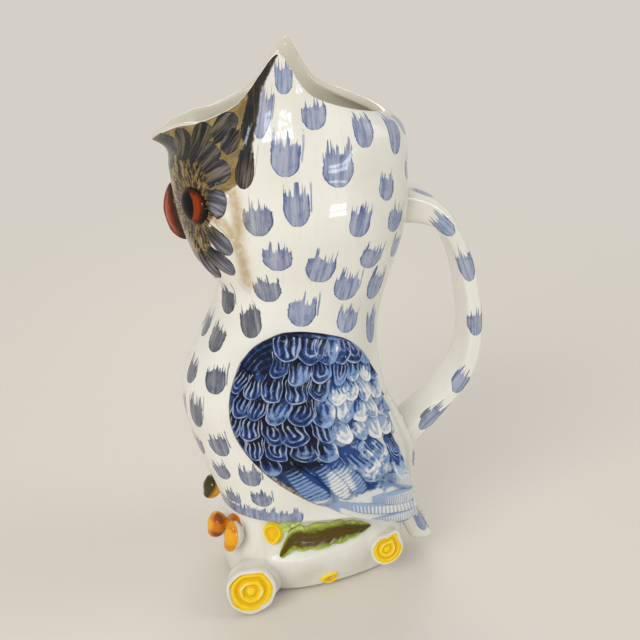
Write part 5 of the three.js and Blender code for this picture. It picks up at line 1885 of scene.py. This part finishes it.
for (part, middle, size, tilt, painted), (name, side) in (
    (row, end) for row in leaf_rows for end in (("left", 1), ("right", -1))
):
    share, turn = laid_shares(30, 220)
    nicks = np.abs(np.sin(turn * leaf_nicks)) ** 3 * np.abs(np.sin(turn))
    along = share * leaf_half_length * np.cos(turn)
    wide = share * np.sign(np.sin(turn)) * leaf_half_at(np.cos(turn))
    wide = wide * (1 - leaf_nick_depth * nicks)
    place = along / leaf_half_length
    bow = leaf_bow * (1 - place) ** 0.8 * ease(place, -1.06, -0.6)
    ripple = 0.7 * np.sin(along / 5.5) * (1 - share ** 2) + bow
    across, rising = spun(size * along, size * (wide + ripple), tilt)
    beside = np.clip(np.abs(wide) / leaf_half_at(place), 0, 1)
    veins = wave(along + 1.1 * np.abs(wide), leaf_vein_pitch) * ease(beside, 0.15, 0.4)
    proud = leaf_thickness * mix(0.5, 1.0, beside ** 1.5) + leaf_midrib_rise * hump(wide, 0.5)
    proud = proud + leaf_vein_rise * (1 - painted) * veins
    proud = proud * np.sqrt(np.clip(1 - share ** 10, 0, 1))
    proud = proud * (1 - 0.4 * ease(np.abs(along), 24, 29))
    leaf = laid_piece(
        f"leaf_sprig_{name}{part}", log_point, side, middle, across, rising, proud, leaf_material
    )
    from_middle = np.sign(wide) * np.maximum(beside, painted)
    places = np.append(stacked(place, from_middle), [(0, painted)] * 2).reshape(-1, 2)
    add_map(leaf, "on_leaf", places[column(leaf.data.loops, "vertex_index", np.int32)])
    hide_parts(f"leaf_{name}")
    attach(leaf, "root")


# Feet. Two toes of each foot hook over the front of the log from a pad under the hem. They are
# rolled from clay, and glazed orange that browns at their joints and ends. The sides where the two
# toes face each other and the pad between them are painted brown as shade, and the right foot's
# toes and pad are painted dark green above as shade.
toe_radius = 4.7
toe_lengths = (13.0, 16.0)
toe_spread = 11.5
toe_height = 34.0
toe_reach = 3.4
toe_tilt = radians(-10)
toe_bend = 1.3
foot_place = 20.0
toe_row_radius = 41.0
pad_half_width = 6.6
pad_half_length = 6.4
pad_half_height = 5.0
pad_rise = 0.5
right_foot_drop = 2.0
pad_turn = radians(20)

foot_glaze = Glaze("foot_glaze", 0.14, 0.8)
crease = foot_glaze.attribute("crease")
foot_runs = foot_glaze.noise(foot_glaze.place(), 240.0, 3.0, 0.6)
# Crease browns the joints and ends, and paints shade between the toes.
foot_mix = crease + (foot_runs - 0.5) * 1.1
foot_color = foot_glaze.fade(foot_mix, 0.15, 0.7, (0.86, 0.4, 0.012, 1), (0.62, 0.19, 0.01, 1))
foot_color = foot_glaze.fade(foot_mix, 0.75, 1.2, foot_color, (0.27, 0.07, 0.012, 1))
# Shaded paints the right foot dark green-black, as shade.
foot_color = foot_glaze.blend(foot_glaze.attribute("shaded"), foot_color, (0.018, 0.03, 0.012, 1))
foot_ground, _ = cream_ground(foot_glaze)
foot_bare = foot_glaze.attribute("bare") + (foot_runs - 0.5) * 0.6
foot_color = foot_glaze.fade(foot_bare, 0.42, 0.58, foot_color, foot_ground)
foot_material = foot_glaze.finish(foot_color, foot_runs, 0.00006)


def ball_rings(rows, columns):
    polar = np.linspace(0, pi, rows + 2)[1:-1]
    return np.meshgrid(polar, round_turns(columns), indexing="ij")


for name, side in (("left", 1), ("right", -1)):
    seats = []
    for step in (-1, 0, 1):
        angle = side * np.arcsin((foot_place + step * toe_spread / 2) / toe_row_radius)
        grow = 0.0 if step == 0 else toe_radius + toe_reach
        seats.append(log_point(angle, toe_height, grow)[:2])
    for number, (x, y) in zip((0, 1), (seats[0], seats[2])):
        toe_length, plump = toe_lengths[number], 1.14 - 0.1 * number
        polar, spin = ball_rings(40, 36)
        along = np.cos(polar)
        joint = np.cos(along * pi * 1.6 + 0.5)
        radius = toe_radius * plump * np.sqrt(1 - np.abs(along) ** 2.8) * (0.94 + 0.06 * joint)
        along_z = -along * toe_length / 2
        bend = toe_bend * along ** 2
        ahead, rise = spun(radius * np.sin(spin) * 0.98 - bend + 0.6, along_z, toe_tilt)
        rise = rise + toe_height - right_foot_drop * (side < 0)
        rings = stacked(radius * np.cos(spin) + x, ahead + y, rise)
        toe = closed_loft(f"toe_{name}_{number}", rings, foot_material)
        notch = 0.5 * np.clip(0.2 - joint * 0.9, 0, 1) + 0.5 * ease(along, 0.8, 0.95)
        # Painted shade on the side of each toe that faces the other.
        inner = ease(side * np.cos(spin) * (1 - 2 * number), 0.45, 1.0)
        add_value(toe, "crease", notch + 0.75 * inner, 0.2, 0.7)
        # The right foot's toes are painted dark on their front and top, as shade.
        shaded = (side < 0) * 0.95 * ease(0.2 - np.sin(spin) - 0.5 * along, -0.2, 0.4)
        add_value(toe, "shaded", shaded, 0, 0)
        behind = ease(np.sin(spin) + 0 * along, 0.0, 0.7) * number
        add_value(toe, "bare", behind, 0.3, 0.3)
        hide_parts(f"foot_{name}")
        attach(toe, "root")
    polar, spin = ball_rings(30, 56)
    knuckle = 1 + 0.07 * np.cos(4 * spin) * np.sin(polar)
    x, y = spun(
        pad_half_width * np.sin(polar) * np.cos(spin) * knuckle,
        pad_half_length * np.sin(polar) * np.sin(spin) * knuckle, side * pad_turn,
    )
    rise = np.minimum(toe_height + pad_rise - pad_half_height * np.cos(polar), log_height)
    rings = stacked(x + seats[1][0], y + seats[1][1], rise)
    pad = closed_loft(f"foot_pad_{name}", rings, foot_material)
    add_value(pad, "shaded", np.full(len(pad.data.vertices), 0.4 * (side < 0)))
    # The pad between the toes is painted brown, as shade between them.
    shade = np.clip(0.5 - 0.6 * np.cos(4 * spin), 0, 1) * np.sin(polar)
    add_value(pad, "crease", 0.75 + 0.35 * shade, 0.8, 0.8)
    add_value(pad, "bare", ease(np.sin(spin) + 0 * polar, -0.5, 0.2), 0.5, 0.5)
    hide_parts(f"foot_{name}")
    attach(pad, "root")
